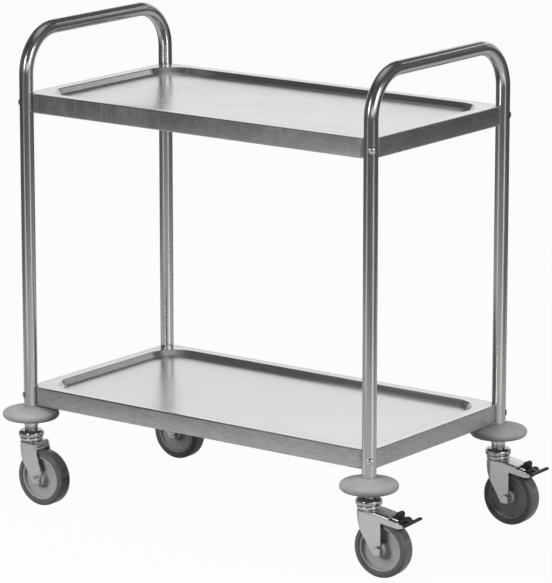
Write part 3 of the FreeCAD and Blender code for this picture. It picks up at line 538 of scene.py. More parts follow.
def shelf_surface(sizes, node, leg_x, leg_y, tube_r):
    """One sheet from the hem, up the apron, over the rim, down the wall and across the deck.

    Each row is a closed plan loop at a height: the apron's plan drawn in for the bends, then rounded
    rectangles for the mouth, wall and deck. Bends are quarter arcs of the edge radius, and the deck closes in
    loops towards its middle line. Beside the sheet comes whether each quad is part of the apron.
    """
    centre, half, low, high = middle(node)
    half_x, half_y = half[0], half[1]
    notch, blend, edge = tube_r + sizes.notch_gap, sizes.notch_blend, sizes.edge_radius
    outer = lambda inset: shelf_outline(half_x, half_y, leg_x, leg_y, notch, blend, inset)
    count = len(outer(0.0)) // 4
    inner = lambda inset, radius: round_outline(half_x - inset, half_y - inset, radius, count)
    base, rim = low[2], high[2]
    turn = np.linspace(0, math.pi / 2, BEND_STEPS)
    rows = [(inner(sizes.sheet + sizes.hem, sizes.hem_radius), base)]
    rows += [(outer(edge - edge * math.sin(t)), base + edge - edge * math.cos(t)) for t in turn]
    rows += [(outer(edge - edge * math.cos(t)), rim - edge + edge * math.sin(t)) for t in turn]
    depth, run, fillet = sizes.deck_depth, sizes.wall_run, sizes.deck_fillet
    run_in, run_out = -4 * edge, run + 3 * fillet
    lip = rounded_line([(run_in, 0), (0, 0, edge), (run, -depth, fillet), (run_out, -depth)], BEND_STEPS,
                       closed=False)
    rows += [(inner(sizes.rim_width + along, max(sizes.mouth_radius - along, LEAST_CORNER)), rim + drop)
             for along, drop in lip]
    last_loop, deck_z = rows[-1]
    short = half_y - sizes.rim_width - run_out
    shrink = np.linspace(0, 1, DECK_LOOPS + 1)[1:]
    core = np.sign(last_loop) * np.maximum(np.abs(last_loop) - short, 0) * (1, 0)
    rows += [(last_loop * (1 - part) + core * part, deck_z) for part in shrink]
    points = np.concatenate([np.column_stack([loop + centre[:2], np.full(len(loop), z)]) for loop, z in rows])
    quads = grid_quads(len(rows), count * 4)[:, ::-1]
    apron_rows = 1 + turn.size + turn.size // 2
    return (points, quads), np.arange(len(quads)) // (count * 4) < apron_rows


class TROLLEY_OT_end_frames(bpy.types.Operator):
    """Two bent stainless tubes, each two legs and a push handle in one piece"""
    bl_idname = "trolley.end_frames"
    bl_label = "End frames"

    def execute(self, context):
        sizes = context.scene.trolley.frame
        for side in ("left", "right"):
            node = f"{side}_frame_tube"
            centre, half, low, high = middle(node)
            radius = half[0]
            surface, uv = tube_surface(centre[0], half[1] - radius, low[2], high[2] - radius, radius,
                                       sizes.bend_radius)
            new_piece(f"{side}_polished_tube", surface, finish(context, "polished stainless tube"), "frame",
                      [node], uv, sizes.tube_wall, shell=False)
        return {"FINISHED"}


class TROLLEY_OT_shelves(bpy.types.Operator):
    """Two pressed shelves with apron, rim, sunk deck and hollow corners, and the stiffeners under them"""
    bl_idname = "trolley.shelves"
    bl_label = "Shelves"

    def execute(self, context):
        sizes = context.scene.trolley.frame
        # apron is the darker copy of the deck's steel, painted shade, used on the aprons and the stiffeners
        sheet, apron = finish(context, "brushed stainless deck"), finish(context, "brushed stainless apron")
        centre, half, *_ = middle("right_frame_tube")
        for level in SHELVES:
            node = f"{level}_shelf"
            leg_x, leg_y = centre[0] - middle(node)[0][0], half[1] - half[0]
            surface, on_apron = shelf_surface(sizes, node, leg_x, leg_y, half[0])
            new_piece(f"{level}_pressed_tray", surface, [sheet, apron], "frame", [node],
                      solid=sizes.sheet, shell=False, marks=on_apron)
        paint([f"{level}_shelf_stiffeners" for level in SHELVES], apron)
        return {"FINISHED"}


# Soft edge of the cross recess, the shank's reach beyond the tube, and the turns that set the recesses apart
RECESS_EDGE, SCREW_REACH = 0.35 * MM, 9 * MM
FIRST_TURN, LEG_TURN, LEVEL_TURN = 0.4, 0.9, 1.7


def screw_surface(sizes, length_in, turn, rings=30):
    """Domed screw along -Z with a cross recess.

    The head is a spherical cap. The recess takes away depth * (1 - |a| / arm) inside two crossed bars of the
    recess width, with soft edges; a is the distance along the bar.
    """
    head, rise, shank = sizes.screw_head / 2, sizes.screw_rise, sizes.screw_diameter / 2
    dome = (head ** 2 + rise ** 2) / (2 * rise)
    ring = np.linspace(0, 1, rings) * head
    profile = np.vstack([
        np.column_stack([ring, np.sqrt(dome ** 2 - ring ** 2) - dome + rise]),
        [(shank, 0), (shank, -length_in), (0, -length_in)],
    ])
    points, quads = turned(profile[::-1], closed=False)
    x, y = points[:, 0], points[:, 1]
    a, b = x * math.cos(turn) + y * math.sin(turn), y * math.cos(turn) - x * math.sin(turn)
    soft = lambda value: np.clip(value / RECESS_EDGE + 0.5, 0, 1)
    slope = lambda along: np.clip(1 - abs(along) / sizes.recess_arm, 0, 1)
    bar = lambda along, over: soft(sizes.recess_width / 2 - abs(over)) * slope(along)
    sunk = np.maximum(bar(a, b), bar(b, a)) * sizes.recess_depth
    points[:, 2] -= np.where(points[:, 2] > 0, sunk, 0)
    return points, quads


class TROLLEY_OT_shelf_screws(bpy.types.Operator):
    """Eight domed screws with a cross recess, one through each leg into each shelf corner, and their nuts"""
    bl_idname = "trolley.shelf_screws"
    bl_label = "Shelf screws"

    def execute(self, context):
        sizes = context.scene.trolley.frame
        surfaces = []
        tube_r = middle("left_frame_tube")[1][0]
        for index, leg in enumerate(LEGS):
            position = castor_axes(leg)[0]
            out = np.array([1 if "right" in leg else -1, 1 if "rear" in leg else -1, 0]) / math.sqrt(2)
            level_way = np.cross(UP, out)
            for step, level in enumerate(SHELVES):
                rim = middle(f"{level}_shelf")[3][2]
                seat = np.array([position[0], position[1], rim - sizes.screw_drop]) + out * tube_r
                turn = FIRST_TURN + LEG_TURN * index + LEVEL_TURN * step
                points, quads = screw_surface(sizes, 2 * tube_r + SCREW_REACH, turn)
                surfaces.append((placed(points, seat, level_way, UP, out), quads))
        screw = finish(context, "nickel-plated screw")
        new_piece("cross_recess_screws", joined(*surfaces), screw, "frame",
                  ["shelf_screws"])
        paint(["shelf_nuts"], screw)
        return {"FINISHED"}


def bumper_profile(rim, height, bore, edge, rise_radius, edge_points=16, dome_points=14):
    """Full round edge of the edge radius that runs without a kink into a flat dome round the axis.

    The dome's circle is centred on the axis and touches the edge's circle from outside, so its radius R
    follows from the ring of edge centres at rim - edge: the centres lie R - edge apart. The dome's crest, on
    the axis, stands bore ** 2 / (2 * rise radius) over the given height.
    """
    ring = rim - edge
    crest = height + bore ** 2 / (2 * rise_radius)
    dome = (ring ** 2 + (crest - edge) ** 2 - edge ** 2) / (2 * (crest - 2 * edge))
    dome_z = crest - dome
    lean = math.atan2(edge - dome_z, ring)
    angle = np.linspace(-math.pi / 2, lean, edge_points)
    round_edge = np.column_stack([ring + edge * np.cos(angle), edge + edge * np.sin(angle)])
    across = np.linspace(dome * math.cos(lean), bore, dome_points)[1:]
    crown = np.column_stack([across, dome_z + np.sqrt(dome ** 2 - across ** 2)])
    return np.vstack([[(bore, 0)], round_edge, crown])


class TROLLEY_OT_bumpers(bpy.types.Operator):
    """Grey bumper discs pushed on the legs above the castors"""
    bl_idname = "trolley.bumpers"
    bl_label = "Bumpers"

    def execute(self, context):
        sizes = context.scene.trolley.castor
        tube_r = middle("left_frame_tube")[1][0]
        for leg in LEGS:
            centre, half, low, _ = middle(f"{leg}_bumper")
            bore = tube_r + sizes.bumper_gap
            profile = bumper_profile(half[0], half[2] * 2, bore, sizes.bumper_edge, sizes.bumper_dome)
            points, quads = turned(profile, columns=128)
            new_piece(f"{leg}_bumper_disc", (points + (centre[0], centre[1], low[2]), quads),
                      finish(context, "moulded bumper"), "frame", [f"{leg}_bumper"])
        return {"FINISHED"}


class TROLLEY_OT_castor_heads(bpy.types.Operator):
    """Bearing races, balls, inserts and king bolts between each leg and its fork"""
    bl_idname = "trolley.castor_heads"
    bl_label = "Castor heads"

    def execute(self, context):
        sizes = context.scene.trolley.castor
        bearing, zinc = finish(context, "chromed bearing steel"), finish(context, "bright zinc fastener")
        for leg in LEGS:
            for race, body, top, metal in (("upper", "frame", sizes.race_dome, bearing),
                                           ("lower", f"{leg}_castor", sizes.race_edge, zinc)):
                centre, half, low, _ = middle(f"{leg}_{race}_race")
                rim, height, bore = half[0], half[2] * 2, sizes.king_bore / 2
                profile = rounded_line(
                    [(bore, 0), (rim, 0, sizes.race_edge), (rim, height, top), (bore, height)], steps=12)
                points, quads = turned(profile)
                points = points + (centre[0], centre[1], low[2])
                new_piece(f"{leg}_{race}_bearing_ring", (points, quads), metal, body,
                          [f"{leg}_{race}_race"])
            paint([f"{leg}_balls"], bearing)
            paint([f"{leg}_{part}" for part in ("insert", "king_bolt")], finish(context, "dark castor steel"))
        return {"FINISHED"}


# Fork's grid: rows round its front, points over the bend and points down the leg
FRONT_ROWS, BEND_POINTS, LEG_POINTS = 16, 8, 12


def fork_surface(sizes, stations, top, bottom, roof):
    """Half of a pressed fork on the side of +Y, from the round front to the rear.

    Each row starts on the middle line of the crown, runs out, over the bend and down the leg. The first rows
    turn a quarter round the swivel axis, the others stand side by side behind it. top and bottom give the
    leg's upper and lower edge for the distance behind the axis; past roof the crown is left out, so the row
    starts at the bend's foot.
    """
    outer, bend = sizes.fork_width / 2, sizes.fork_bend
    turn = np.linspace(0, math.pi / 2, FRONT_ROWS + 1)[:-1]
    axis_u = np.concatenate([np.zeros(turn.size), stations])
    lead_u = np.concatenate([-np.cos(turn), np.zeros(stations.size)])
    lead_w = np.concatenate([np.sin(turn), np.ones(stations.size)])
    edge_u = axis_u + outer * lead_u
    high = np.interp(edge_u, *np.array(top).T)[:, None]
    low = np.minimum(np.interp(edge_u, *np.array(bottom).T)[:, None], high - bend)
    arc = np.linspace(0, math.pi / 2, BEND_POINTS)[None, :]
    out = np.hstack([np.zeros((1, 1)), outer - bend + bend * np.sin(arc), np.full((1, LEG_POINTS), outer)])
    drop = np.linspace(0, 1, LEG_POINTS + 1)[None, 1:]
    height = np.hstack([high, high - bend + bend * np.cos(arc), high - bend + (low - high + bend) * drop])
    out = np.broadcast_to(out, height.shape)
    points = np.stack([axis_u[:, None] + out * lead_u[:, None], out * lead_w[:, None], height], axis=-1)
    quads = grid_quads(*height.shape, around=False)
    rows, columns = np.divmod(np.arange(len(quads)), height.shape[1] - 1)
    kept = (axis_u[rows] < roof - MERGE_DISTANCE) | (columns >= arc.size)
    return points.reshape(-1, 3), quads[kept][:, ::-1]


def mirrored(surface):
    """The surface and its mirror image in the middle plane, as one."""
    points, quads = surface
    return joined(surface, (points * (1, -1, 1), quads[:, ::-1]))


def rounded_block(half_x, half_y, half_z, radius, steps=6):
    """Box with rounded edges: every point of a small sphere is pushed out to the box's corner on its side."""
    quarter = (np.arange(steps) + 0.5) / steps * math.pi / 2
    around = np.concatenate([quarter + math.pi / 2 * k for k in range(4)])
    tilt = np.concatenate([[-math.pi / 2], quarter - math.pi / 2, quarter, [math.pi / 2]])[:, None]
    flat = np.cos(tilt)
    ball = np.stack([flat * np.cos(around), flat * np.sin(around), np.sin(tilt) + 0 * around], axis=-1)
    core = np.stack([np.sign(np.cos(around)) * (half_x - radius) + 0 * tilt,
                     np.sign(np.sin(around)) * (half_y - radius) + 0 * tilt,
                     np.sign(tilt) * (half_z - radius) + 0 * around], axis=-1)
    grid = (core + ball * radius).reshape(-1, 3)
    middle_low, middle_high = np.array([[0, 0, -half_z]]), np.array([[0, 0, half_z]])
    rows, columns = tilt.size, around.size
    grid = np.vstack([np.repeat(middle_low, columns, 0), grid, np.repeat(middle_high, columns, 0)])
    return grid, grid_quads(rows + 2, columns)


# Fork's leg from the side: the foot's reach before, behind and under the axle and its rounding, then two
# points of the front edge as distance behind the swivel axis and depth under the crown
FOOT_FRONT, FOOT_REAR, FOOT_DROP, FOOT_ROUND = 12 * MM, 5 * MM, 10 * MM, 4 * MM
FRONT_BROW, FRONT_KNEE = (-9 * MM, 31 * MM), (7 * MM, 55 * MM)
# Arms that carry the pedal: where they end, where the lower edge turns up and their rounding, then depths
# under the crown: the lower edge at its root, the lower edge further on, and the upper edge at the end
ARM_TIP, ARM_KNEE, ARM_ROUND = 80 * MM, 68 * MM, 8 * MM
ARM_ROOT_DROP, ARM_DROP, ARM_FALL = 18 * MM, 23 * MM, 12 * MM
# Rear of a plain fork: reach behind the foot, height over the axle and where the upper edge leaves the crown
PLAIN_REACH, PLAIN_RISE, CROWN_OVER = 4 * MM, 12 * MM, 1 * MM
# Share of a rounding at which the middle of its arc lies, the width of an upright step in an edge, and how
# many rows a leg has at least
ARC_MIDDLE, STEP_WIDTH, FORK_ROWS = 0.3, 0.1 * MM, 60
# Tab of a plain fork: its rounding and how far its top lies under the crown
CATCH_ROUND, CATCH_SINK = 0.8 * MM, 0.5 * MM


def fork_edges(sizes, crown, axle_z, trail, braked):
    """Upper and lower edge of a fork's leg, where its roof ends and where the leg ends.

    The edges are points of distance behind the swivel axis and height, joined by straight lines.
    """
    outer = sizes.fork_width / 2
    front, rear, foot = trail - FOOT_FRONT, trail + FOOT_REAR, axle_z - FOOT_DROP
    cut = ARC_MIDDLE * FOOT_ROUND
    bottom = [(-outer, crown - sizes.fork_sheet), (FRONT_BROW[0], crown - FRONT_BROW[1]),
              (FRONT_KNEE[0], crown - FRONT_KNEE[1]), (front, foot + FOOT_ROUND), (front + cut, foot + cut),
              (front + FOOT_ROUND, foot), (rear - FOOT_ROUND, foot), (rear - cut, foot + cut)]
    if braked:
        low, arm_cut = crown - ARM_DROP, ARC_MIDDLE * ARM_ROUND
        bottom += [(rear - STEP_WIDTH, foot + FOOT_ROUND), (rear, crown - ARM_ROOT_DROP), (ARM_KNEE, low),
                   (ARM_TIP - arm_cut, low + arm_cut), (ARM_TIP, low + ARM_ROUND)]
        top = [(-outer, crown), (sizes.roof_start, crown), (ARM_TIP, crown - ARM_FALL)]
        return top, bottom, sizes.roof_end, ARM_TIP
    end, rise = rear + PLAIN_REACH, axle_z + PLAIN_RISE
    bottom += [(rear, foot + FOOT_ROUND), (end, rise)]
    top = [(-outer, crown), (sizes.crown_end + CROWN_OVER, crown), (end, rise + sizes.fork_bend)]
    return top, bottom, sizes.crown_end, end


class TROLLEY_OT_castor_forks(bpy.types.Operator):
    """Pressed zinc-plated forks with a round front and bent shoulders; braked ones have arms for the pedal"""
    bl_idname = "trolley.castor_forks"
    bl_label = "Castor forks"

    def execute(self, context):
        sizes = context.scene.trolley.castor
        zinc = finish(context, "zinc-plated pressing")
        for leg in LEGS:
            swivel, axle, back, across = castor_axes(leg)
            crown, trail, origin = swivel[2], np.linalg.norm((axle - swivel)[:2]), (swivel[0], swivel[1], 0)
            top, bottom, roof, last = fork_edges(sizes, crown, axle[2], trail, leg in BRAKED)
            knots = np.array([point[0] for point in bottom + top])
            between = knots[(knots > 0) & (knots < last)]
            spread = np.concatenate([np.linspace(0, last, FORK_ROWS), between, [roof]])
            points, quads = mirrored(fork_surface(sizes, np.unique(spread.round(7)), top, bottom, roof))
            new_piece(f"{leg}_pressed_fork", (placed(points, origin, back, across, UP), quads), zinc,
                      f"{leg}_castor", [f"{leg}_fork"], solid=sizes.fork_sheet, shell=False)
            if leg not in BRAKED:
                sheet, width, drop = sizes.fork_sheet / 2, sizes.catch_width / 2, sizes.catch_drop / 2
                points, quads = rounded_block(sheet, width, drop, CATCH_ROUND)
                points = points + (sizes.crown_end - sheet, 0, crown - drop - CATCH_SINK)
                new_piece(f"{leg}_fork_catch", (placed(points, origin, back, across, UP), quads), zinc,
                          f"{leg}_castor")
        return {"FINISHED"}


# Wheel's section: roundings at the bore, hub, disc and rim, then the flare of the hub and rim, the disc's
# dish and the rounding of the tyre's lip
BORE_ROUND, HUB_ROUND, DISC_ROUND, RIM_FILLET, RIM_ROUND = 0.4 * MM, 1.5 * MM, 3 * MM, 3.2 * MM, 1.0 * MM
HUB_FLARE, RIM_FLARE, DISC_DISH, TYRE_LIP = 1.2 * MM, 1 * MM, 1.2 * MM, 0.8 * MM


class TROLLEY_OT_wheels(bpy.types.Operator):
    """Moulded wheels with their rubber tyres"""
    bl_idname = "trolley.wheels"
    bl_label = "Wheels"

    def execute(self, context):
        sizes = context.scene.trolley.castor
        for leg in LEGS:
            _, axle, back, across = castor_axes(leg)
            tread = axle[2]
            seat, side = tread - sizes.tyre_depth, sizes.tyre_width / 2
            inset, disc = sizes.rim_inset, sizes.disc / 2
            hub, bore = sizes.hub_diameter / 2, sizes.bore_diameter / 2
            hub_end = sizes.fork_width / 2 - sizes.fork_sheet - sizes.hub_gap
            inner = seat - sizes.rim_wall
            half = [
                (bore, -hub_end, BORE_ROUND), (hub, -hub_end, HUB_ROUND),
                (hub + HUB_FLARE, -disc, DISC_ROUND), (inner - RIM_FLARE, -disc - DISC_DISH, RIM_FILLET),
                (inner, inset - side, RIM_ROUND), (seat, inset - side, RIM_ROUND)]
            profile = rounded_line(half + [(r, -z, c) for r, z, c in reversed(half)], steps=7)
            rubber = rounded_line([
                (seat, inset - side), (seat + inset, -side, TYRE_LIP), (tread, -side, sizes.shoulder),
                (tread, side, sizes.shoulder), (seat + inset, side, TYRE_LIP), (seat, side - inset)], steps=9)
            for name, line, finish_name, slot in (
                ("wheel", profile, "moulded wheel", "wheel_plastic"),
                ("tyre", rubber, "rubber tyre", "grey_tyre"),
            ):
                points, quads = turned(line, columns=112)
                new_piece(f"{leg}_{name}_moulding", (placed(points, axle, back, (0, 0, -1), across), quads),
                          finish(context, finish_name), f"{leg}_rolling_wheel", [f"{leg}_{name}"])
        return {"FINISHED"}


# Hexagons: radius of the turned blank and of its chamfered face as shares of the width, and the nut's top as
# a share of that face; then the chamfer and the nut's clearance on the bolt
HEX_BLANK, HEX_FACE, NUT_TOP = 0.59, 0.46, 0.9
HEX_CHAMFER, THREAD_GAP = 1.0 * MM, 0.1 * MM


class TROLLEY_OT_axles(bpy.types.Operator):
    """Axle bolts with hexagon heads, nuts and sleeves"""
    bl_idname = "trolley.axles"
    bl_label = "Axles"

    def execute(self, context):
        sizes = context.scene.trolley.castor
        steel = finish(context, "bright zinc fastener")
        corner, flat, shank = sizes.nut_width * HEX_BLANK, sizes.nut_width * HEX_FACE, sizes.axle_diameter / 2
        face, chamfer, bore = sizes.fork_width / 2, HEX_CHAMFER, sizes.axle_diameter / 2 + THREAD_GAP
        head_end, tail_end = -face - sizes.head_height, face + sizes.nut_height + sizes.axle_tail
        bolt = np.array([
            (0, head_end), (flat, head_end), (corner, head_end + chamfer), (corner, -face), (shank, -face),
            (shank, tail_end - chamfer), (shank - chamfer, tail_end), (0, tail_end)])
        nut_end = face + sizes.nut_height
        nut = np.array([
            (bore, face), (flat, face), (corner, face + chamfer), (corner, nut_end - chamfer * 2),
            (flat, nut_end - chamfer), (flat * NUT_TOP, nut_end), (bore, nut_end), (bore, face)])
        for leg in LEGS:
            _, axle, _, across = castor_axes(leg)
            way = across if leg in BRAKED else -across
            for name, line in (("axle_bolt", bolt), ("axle_nut", nut)):
                points, quads = hexagonal(line, sizes.nut_width)
                points = placed(points, axle, np.cross(UP, way), UP, way)
                new_piece(f"{leg}_hexagon_{name}", (points, quads), steel, f"{leg}_castor",
                          [f"{leg}_{name}"])
            paint([f"{leg}_axle_sleeve"], steel)
        return {"FINISHED"}


class TROLLEY_OT_brake_pedals(bpy.types.Operator):
    """Black rocker pedals and their pivot pins"""
    bl_idname = "trolley.brake_pedals"
    bl_label = "Brake pedals"

    def execute(self, context):
        for leg in BRAKED:
            paint([f"{leg}_pedal"], finish(context, "black moulded nylon"))
            paint([f"{leg}_pivot_pin"], finish(context, "bright zinc fastener"))
        return {"FINISHED"}


# Studio

# Share of plain white that the camera sees in the floor, and the sky's strength as light
FLOOR_WHITE, SKY_LIGHT = 0.97, 0.08

# Pools of light and shade that the steel mirrors: middle, turn in degrees, half axes, even core, brightness
FLOOR_POOLS = (
    ((0.0, -0.1), 0, (9.0, 9.0), 0.0, 0.17),
    ((-0.1, -0.3), 0, (2.35, 2.35), 0.57, 0.35),
    ((-0.95, -2.75), 68, (2.0, 0.5), 0.5, 0.62),
    ((2.6, -0.55), -10, (2.0, 0.45), 0.5, 0.72),
    ((-1.15, -3.6), 70, (1.2, 0.6), 0.5, 0.36),
    ((3.6, -0.72), -10, (1.4, 0.75), 0.5, 0.45),
    ((1.1, 1.6), 0, (0.8, 0.8), 0.0, 0.35),
    ((0.0, -0.55), 0, (1.0, 0.3), 0.4, 0.17),
    ((-1.0, -0.97), 0, (1.8, 0.5), 0.0, -0.20),
    ((0.95, 0.75), 0, (0.7, 0.7), 0.0, -0.05),
    ((-0.1, 0.12), 0, (0.55, 0.33), 0.0, -0.50),
)
CEILING_POOLS = (
    ((0.0, 0.0), 0, (20.0, 20.0), 0.0, 0.09),
    ((0.0, 0.05), 0, (1.5, 1.1), 0.1, 0.40),
    ((-1.4, -1.3), 0, (1.6, 0.7), 0.3, -0.04),
)

# Level surfaces: lowest and highest corner in plan, and height
FLOOR = ((-30, -30), (30, 30), 0)
MIRRORED_FLOOR = ((-12, -12), (12, 12), 0.001)
CEILING = ((-6, -6), (6, 3.2), 2.5)

# Upright cards that only reflections see: both ends in plan, lower and upper edge, and brightness
UPRIGHT_CARDS = (
    ("front_flag", (-6, -3.6), (3.5, -5.4), 0.25, 2.5, 0.12),
    ("left_flag", (-4.5, -4.5), (-4.5, 1.5), 0.25, 2.5, 0.12),
    ("rear_right_flag", (0.1, 3.4), (4.0, 1.6), 0.5, 3.6, 0.12),
    ("rear_left_card", (-5.0, 2.5), (-1.0, 5.5), 0, 1.65, 0.74),
    ("front_highlight", (-0.6, -2.9), (0.2, -2.9), 0.9, 2.4, 2.0),
    ("right_highlight", (2.9, -0.9), (2.9, -0.1), 0.9, 2.4, 2.0),
    ("front_core", (-0.55, -2.89), (0.1, -2.89), 1.4, 2.3, 5.0),
    ("right_core", (2.89, -0.8), (2.89, -0.2), 1.4, 2.3, 5.0),
)

# Leaning strips behind the trolley, for reflections too: ends of the middle line in X and Z, and brightness
STRIP_Y, STRIP_WIDTH = 1.8, 0.26
LEANING_STRIPS = (
    ("high_strip", (0.306, 1.507), (1.043, 2.183), 1.0),
    ("low_strip", (0.575, 1.004), (1.093, 1.436), 0.8),
)

# Softboxes: place, the point they face, width, height and power in watts
SOFTBOXES = (
    ("overhead_softbox", (-0.4, -0.6, 3.2), (0, 0, 0.4), 2.4, 2.4, 66),
    ("front_softbox", (-0.6, -2.8, 1.65), (0, 0, 0.2), 1.2, 0.8, 70),
    ("right_softbox", (2.8, 0.3, 1.65), (0, 0, 0.2), 1.2, 0.8, 64),
)

# Camera: its place, in X and Z from the middle of the lower shelf's underside, then fall and turn in degrees,
# and the lens
CAMERA_X, CAMERA_Y, CAMERA_Z = 3.97688, -5.32517, 1.75229
CAMERA_FALL, CAMERA_TURN = 12.952, 36.547
CAMERA_LENS, CAMERA_SENSOR, CAMERA_REACH = 236.03, 36.0, 100.0


def level_corners(low, high, z):
    """Corners of a level rectangle."""
    return [(low[0], low[1], z), (high[0], low[1], z), (high[0], high[1], z), (low[0], high[1], z)]


def strip_corners(start, end):
    """Corners of a strip in an upright plane along X, at half its width to either side of its middle line."""
    start, end = np.array(start), np.array(end)
    along = (end - start) / np.linalg.norm(end - start)
    side = np.array([along[1], -along[0]]) * STRIP_WIDTH / 2
    return [(x, STRIP_Y, z) for x, z in (start - side, start + side, end + side, end - side)]


def card(name, corners, material, seen=False):
    """Flat card from four corners; a card that isn't seen shows in reflections only."""
    mesh = bpy.data.meshes.new(name)
    mesh.from_pydata(corners, [], [(0, 1, 2, 3)])
    mesh.materials.append(material)
    piece = bpy.data.objects.new(name, mesh)
    bpy.context.collection.objects.link(piece)
    if not seen:
        piece.visible_camera = piece.visible_diffuse = piece.visible_shadow = False
        piece.visible_transmission = piece.visible_volume_scatter = False
    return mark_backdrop(piece)


def not_a_lamp(material):
    """Keeps a glowing surface from being sampled as a lamp, which leaves the picture free of grain."""
    material.cycles.emission_sampling = "NONE"
    return material


def studio_floor(tint):
    """Pale matt floor; the camera sees it nearly white, with the trolley's shadow left on it."""
    material, tree = new_material("pale studio floor")
    rays = add(tree, "ShaderNodeLightPath").outputs
    seen = add(tree, "ShaderNodeMath", {0: rays["Is Camera Ray"], 1: rays["Is Transmission Ray"]},
               operation="MAXIMUM")
    matt = add(tree, "ShaderNodeBsdfDiffuse", {"Color": tint})
    glow = add(tree, "ShaderNodeEmission", {"Strength": 1.0})
    pale = add(tree, "ShaderNodeMixShader", {0: FLOOR_WHITE, 1: matt.outputs[0], 2: glow.outputs[0]})
    chosen = add(tree, "ShaderNodeMixShader", {0: seen.outputs[0], 1: matt.outputs[0], 2: pale.outputs[0]})
    add(tree, "ShaderNodeOutputMaterial", {"Surface": chosen.outputs[0]})
    return not_a_lamp(material)


def pooled_light(name, pools):
    """Floor or ceiling as the steel mirrors it: soft pools of light and shade that add up.

    Every pool is an ellipse: its middle, its turn, its half axes in metres, the share of them that is evenly
    lit and its brightness, below zero for shade. Height hardly counts in the distance from the middle.
    """
    material, tree = new_material(name)
    place = add(tree, "ShaderNodeTexCoord").outputs["Object"]
    tall, total = 100.0, None
    for middle_of, turn, axes, core, level in pools:
        own = add(tree, "ShaderNodeMapping", {
            "Vector": place, "Location": (*middle_of, 0), "Rotation": (0, 0, math.radians(turn)),
            "Scale": (*axes, tall)}, vector_type="TEXTURE")
        away = add(tree, "ShaderNodeVectorMath", {0: own.outputs[0]}, operation="LENGTH")
        light = add(tree, "ShaderNodeMapRange", {
            "Value": away.outputs["Value"], "From Min": core, "To Min": level, "To Max": 0.0},
            interpolation_type="SMOOTHSTEP").outputs[0]
        total = light if total is None else add(tree, "ShaderNodeMath", {0: total, 1: light}).outputs[0]
    glow = add(tree, "ShaderNodeEmission", {"Strength": total})
    add(tree, "ShaderNodeOutputMaterial", {"Surface": glow.outputs[0]})
    return not_a_lamp(material)


def plain_card(name, level):
    """Evenly lit card of the given brightness; one that outshines white is a lamp as well."""
    material, tree = new_material(name)
    glow = add(tree, "ShaderNodeEmission", {"Strength": level})
    add(tree, "ShaderNodeOutputMaterial", {"Surface": glow.outputs[0]})
    return material if level > 1.0 else not_a_lamp(material)


def white_studio():
    """Surroundings: white where they are seen or mirrored, softer as light."""
    world = bpy.data.worlds.new("white studio")
    world.use_nodes = True
    tree = world.node_tree
    tree.nodes.clear()
    rays = add(tree, "ShaderNodeLightPath").outputs
    shown = add(tree, "ShaderNodeMath", {0: rays["Is Camera Ray"], 1: rays["Is Glossy Ray"]},
                operation="MAXIMUM")
    white = add(tree, "ShaderNodeMath", {0: shown.outputs[0], 1: rays["Is Transmission Ray"]},
                operation="MAXIMUM")
    level = add(tree, "ShaderNodeMapRange", {"Value": white.outputs[0], "To Min": SKY_LIGHT, "To Max": 1.0})
    sky = add(tree, "ShaderNodeBackground", {"Color": (1, 1, 1, 1), "Strength": level.outputs[0]})
    add(tree, "ShaderNodeOutputWorld", {"Surface": sky.outputs[0]})
    return world


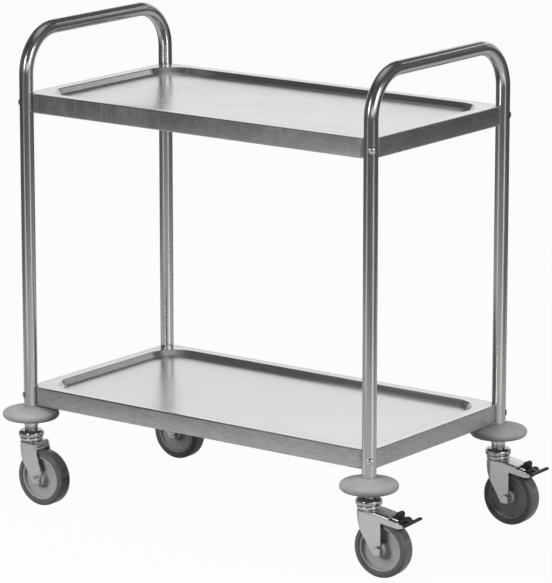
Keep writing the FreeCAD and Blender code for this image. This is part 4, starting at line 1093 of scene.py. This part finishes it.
class TROLLEY_OT_stage(bpy.types.Operator):
    """Pale floor, soft light, reflection cards and the camera"""
    bl_idname = "trolley.stage"
    bl_label = "Studio"

    def execute(self, context):
        scene = context.scene
        scene.view_settings.view_transform = "Standard"
        scene.world = white_studio()
        card("studio_floor", level_corners(*FLOOR), studio_floor(scene.trolley.finish.floor), seen=True)
        card("mirrored_floor", level_corners(*MIRRORED_FLOOR), pooled_light("mirrored floor", FLOOR_POOLS))
        card("dark_ceiling", level_corners(*CEILING), pooled_light("mirrored ceiling", CEILING_POOLS))
        for name, start, end, low, high, level in UPRIGHT_CARDS:
            card(name, [(*start, low), (*end, low), (*end, high), (*start, high)], plain_card(name, level))
        for name, start, end, level in LEANING_STRIPS:
            card(name, strip_corners(start, end), plain_card(name, level))
        for name, place, target, width, height, power in SOFTBOXES:
            lamp = bpy.data.lights.new(name, "AREA")
            lamp.shape, lamp.size, lamp.size_y, lamp.energy = "RECTANGLE", width, height, power
            stand = bpy.data.objects.new(name, lamp)
            stand.location = place
            stand.rotation_euler = (Vector(target) - Vector(place)).to_track_quat("-Z", "Y").to_euler()
            stand.visible_glossy = False
            context.collection.objects.link(stand)

        optics = bpy.data.cameras.new("studio_camera")
        optics.lens, optics.sensor_width, optics.sensor_fit = CAMERA_LENS, CAMERA_SENSOR, "AUTO"
        optics.clip_end = CAMERA_REACH
        camera = bpy.data.objects.new("studio_camera", optics)
        centre, _, low, _ = middle("lower_shelf")
        camera.location = (centre[0] + CAMERA_X, CAMERA_Y, low[2] + CAMERA_Z)
        camera.rotation_euler = (math.radians(90 - CAMERA_FALL), 0, math.radians(CAMERA_TURN))
        context.collection.objects.link(camera)
        scene.camera = camera
        return {"FINISHED"}


OPERATORS = (
    TROLLEY_OT_end_frames, TROLLEY_OT_shelves, TROLLEY_OT_shelf_screws, TROLLEY_OT_bumpers,
    TROLLEY_OT_castor_heads, TROLLEY_OT_castor_forks, TROLLEY_OT_wheels, TROLLEY_OT_axles,
    TROLLEY_OT_brake_pedals, TROLLEY_OT_stage,
)


class TROLLEY_PT_panel(bpy.types.Panel):
    """Lists the trolley's pieces, sizes and colours"""
    bl_idname = "TROLLEY_PT_panel"
    bl_label = "Serving trolley"
    bl_space_type = "VIEW_3D"
    bl_region_type = "UI"
    bl_category = "Trolley"

    def draw(self, context):
        for operator in OPERATORS:
            self.layout.operator(operator.bl_idname)
        settings = context.scene.trolley
        for group in (settings.frame, settings.castor, settings.finish):
            box = self.layout.box()
            for name in group.__annotations__:
                box.prop(group, name)


CLASSES = (
    TrolleyFrameSizes, TrolleyCastorSizes, TrolleyFinishes, TrolleySettings, *OPERATORS, TROLLEY_PT_panel,
)


def register():
    """Makes the classes and the scene's settings known to Blender."""
    for item in CLASSES:
        bpy.utils.register_class(item)
    bpy.types.Scene.trolley = PointerProperty(type=TrolleySettings)


def unregister():
    """Takes the settings and the classes away again."""
    del bpy.types.Scene.trolley
    for item in reversed(CLASSES):
        bpy.utils.unregister_class(item)


def main():
    """Runs every operator."""
    register()
    for operator in OPERATORS:
        family, name = operator.bl_idname.split(".")
        getattr(getattr(bpy.ops, family), name)()


if __name__ == "__main__":
    main()
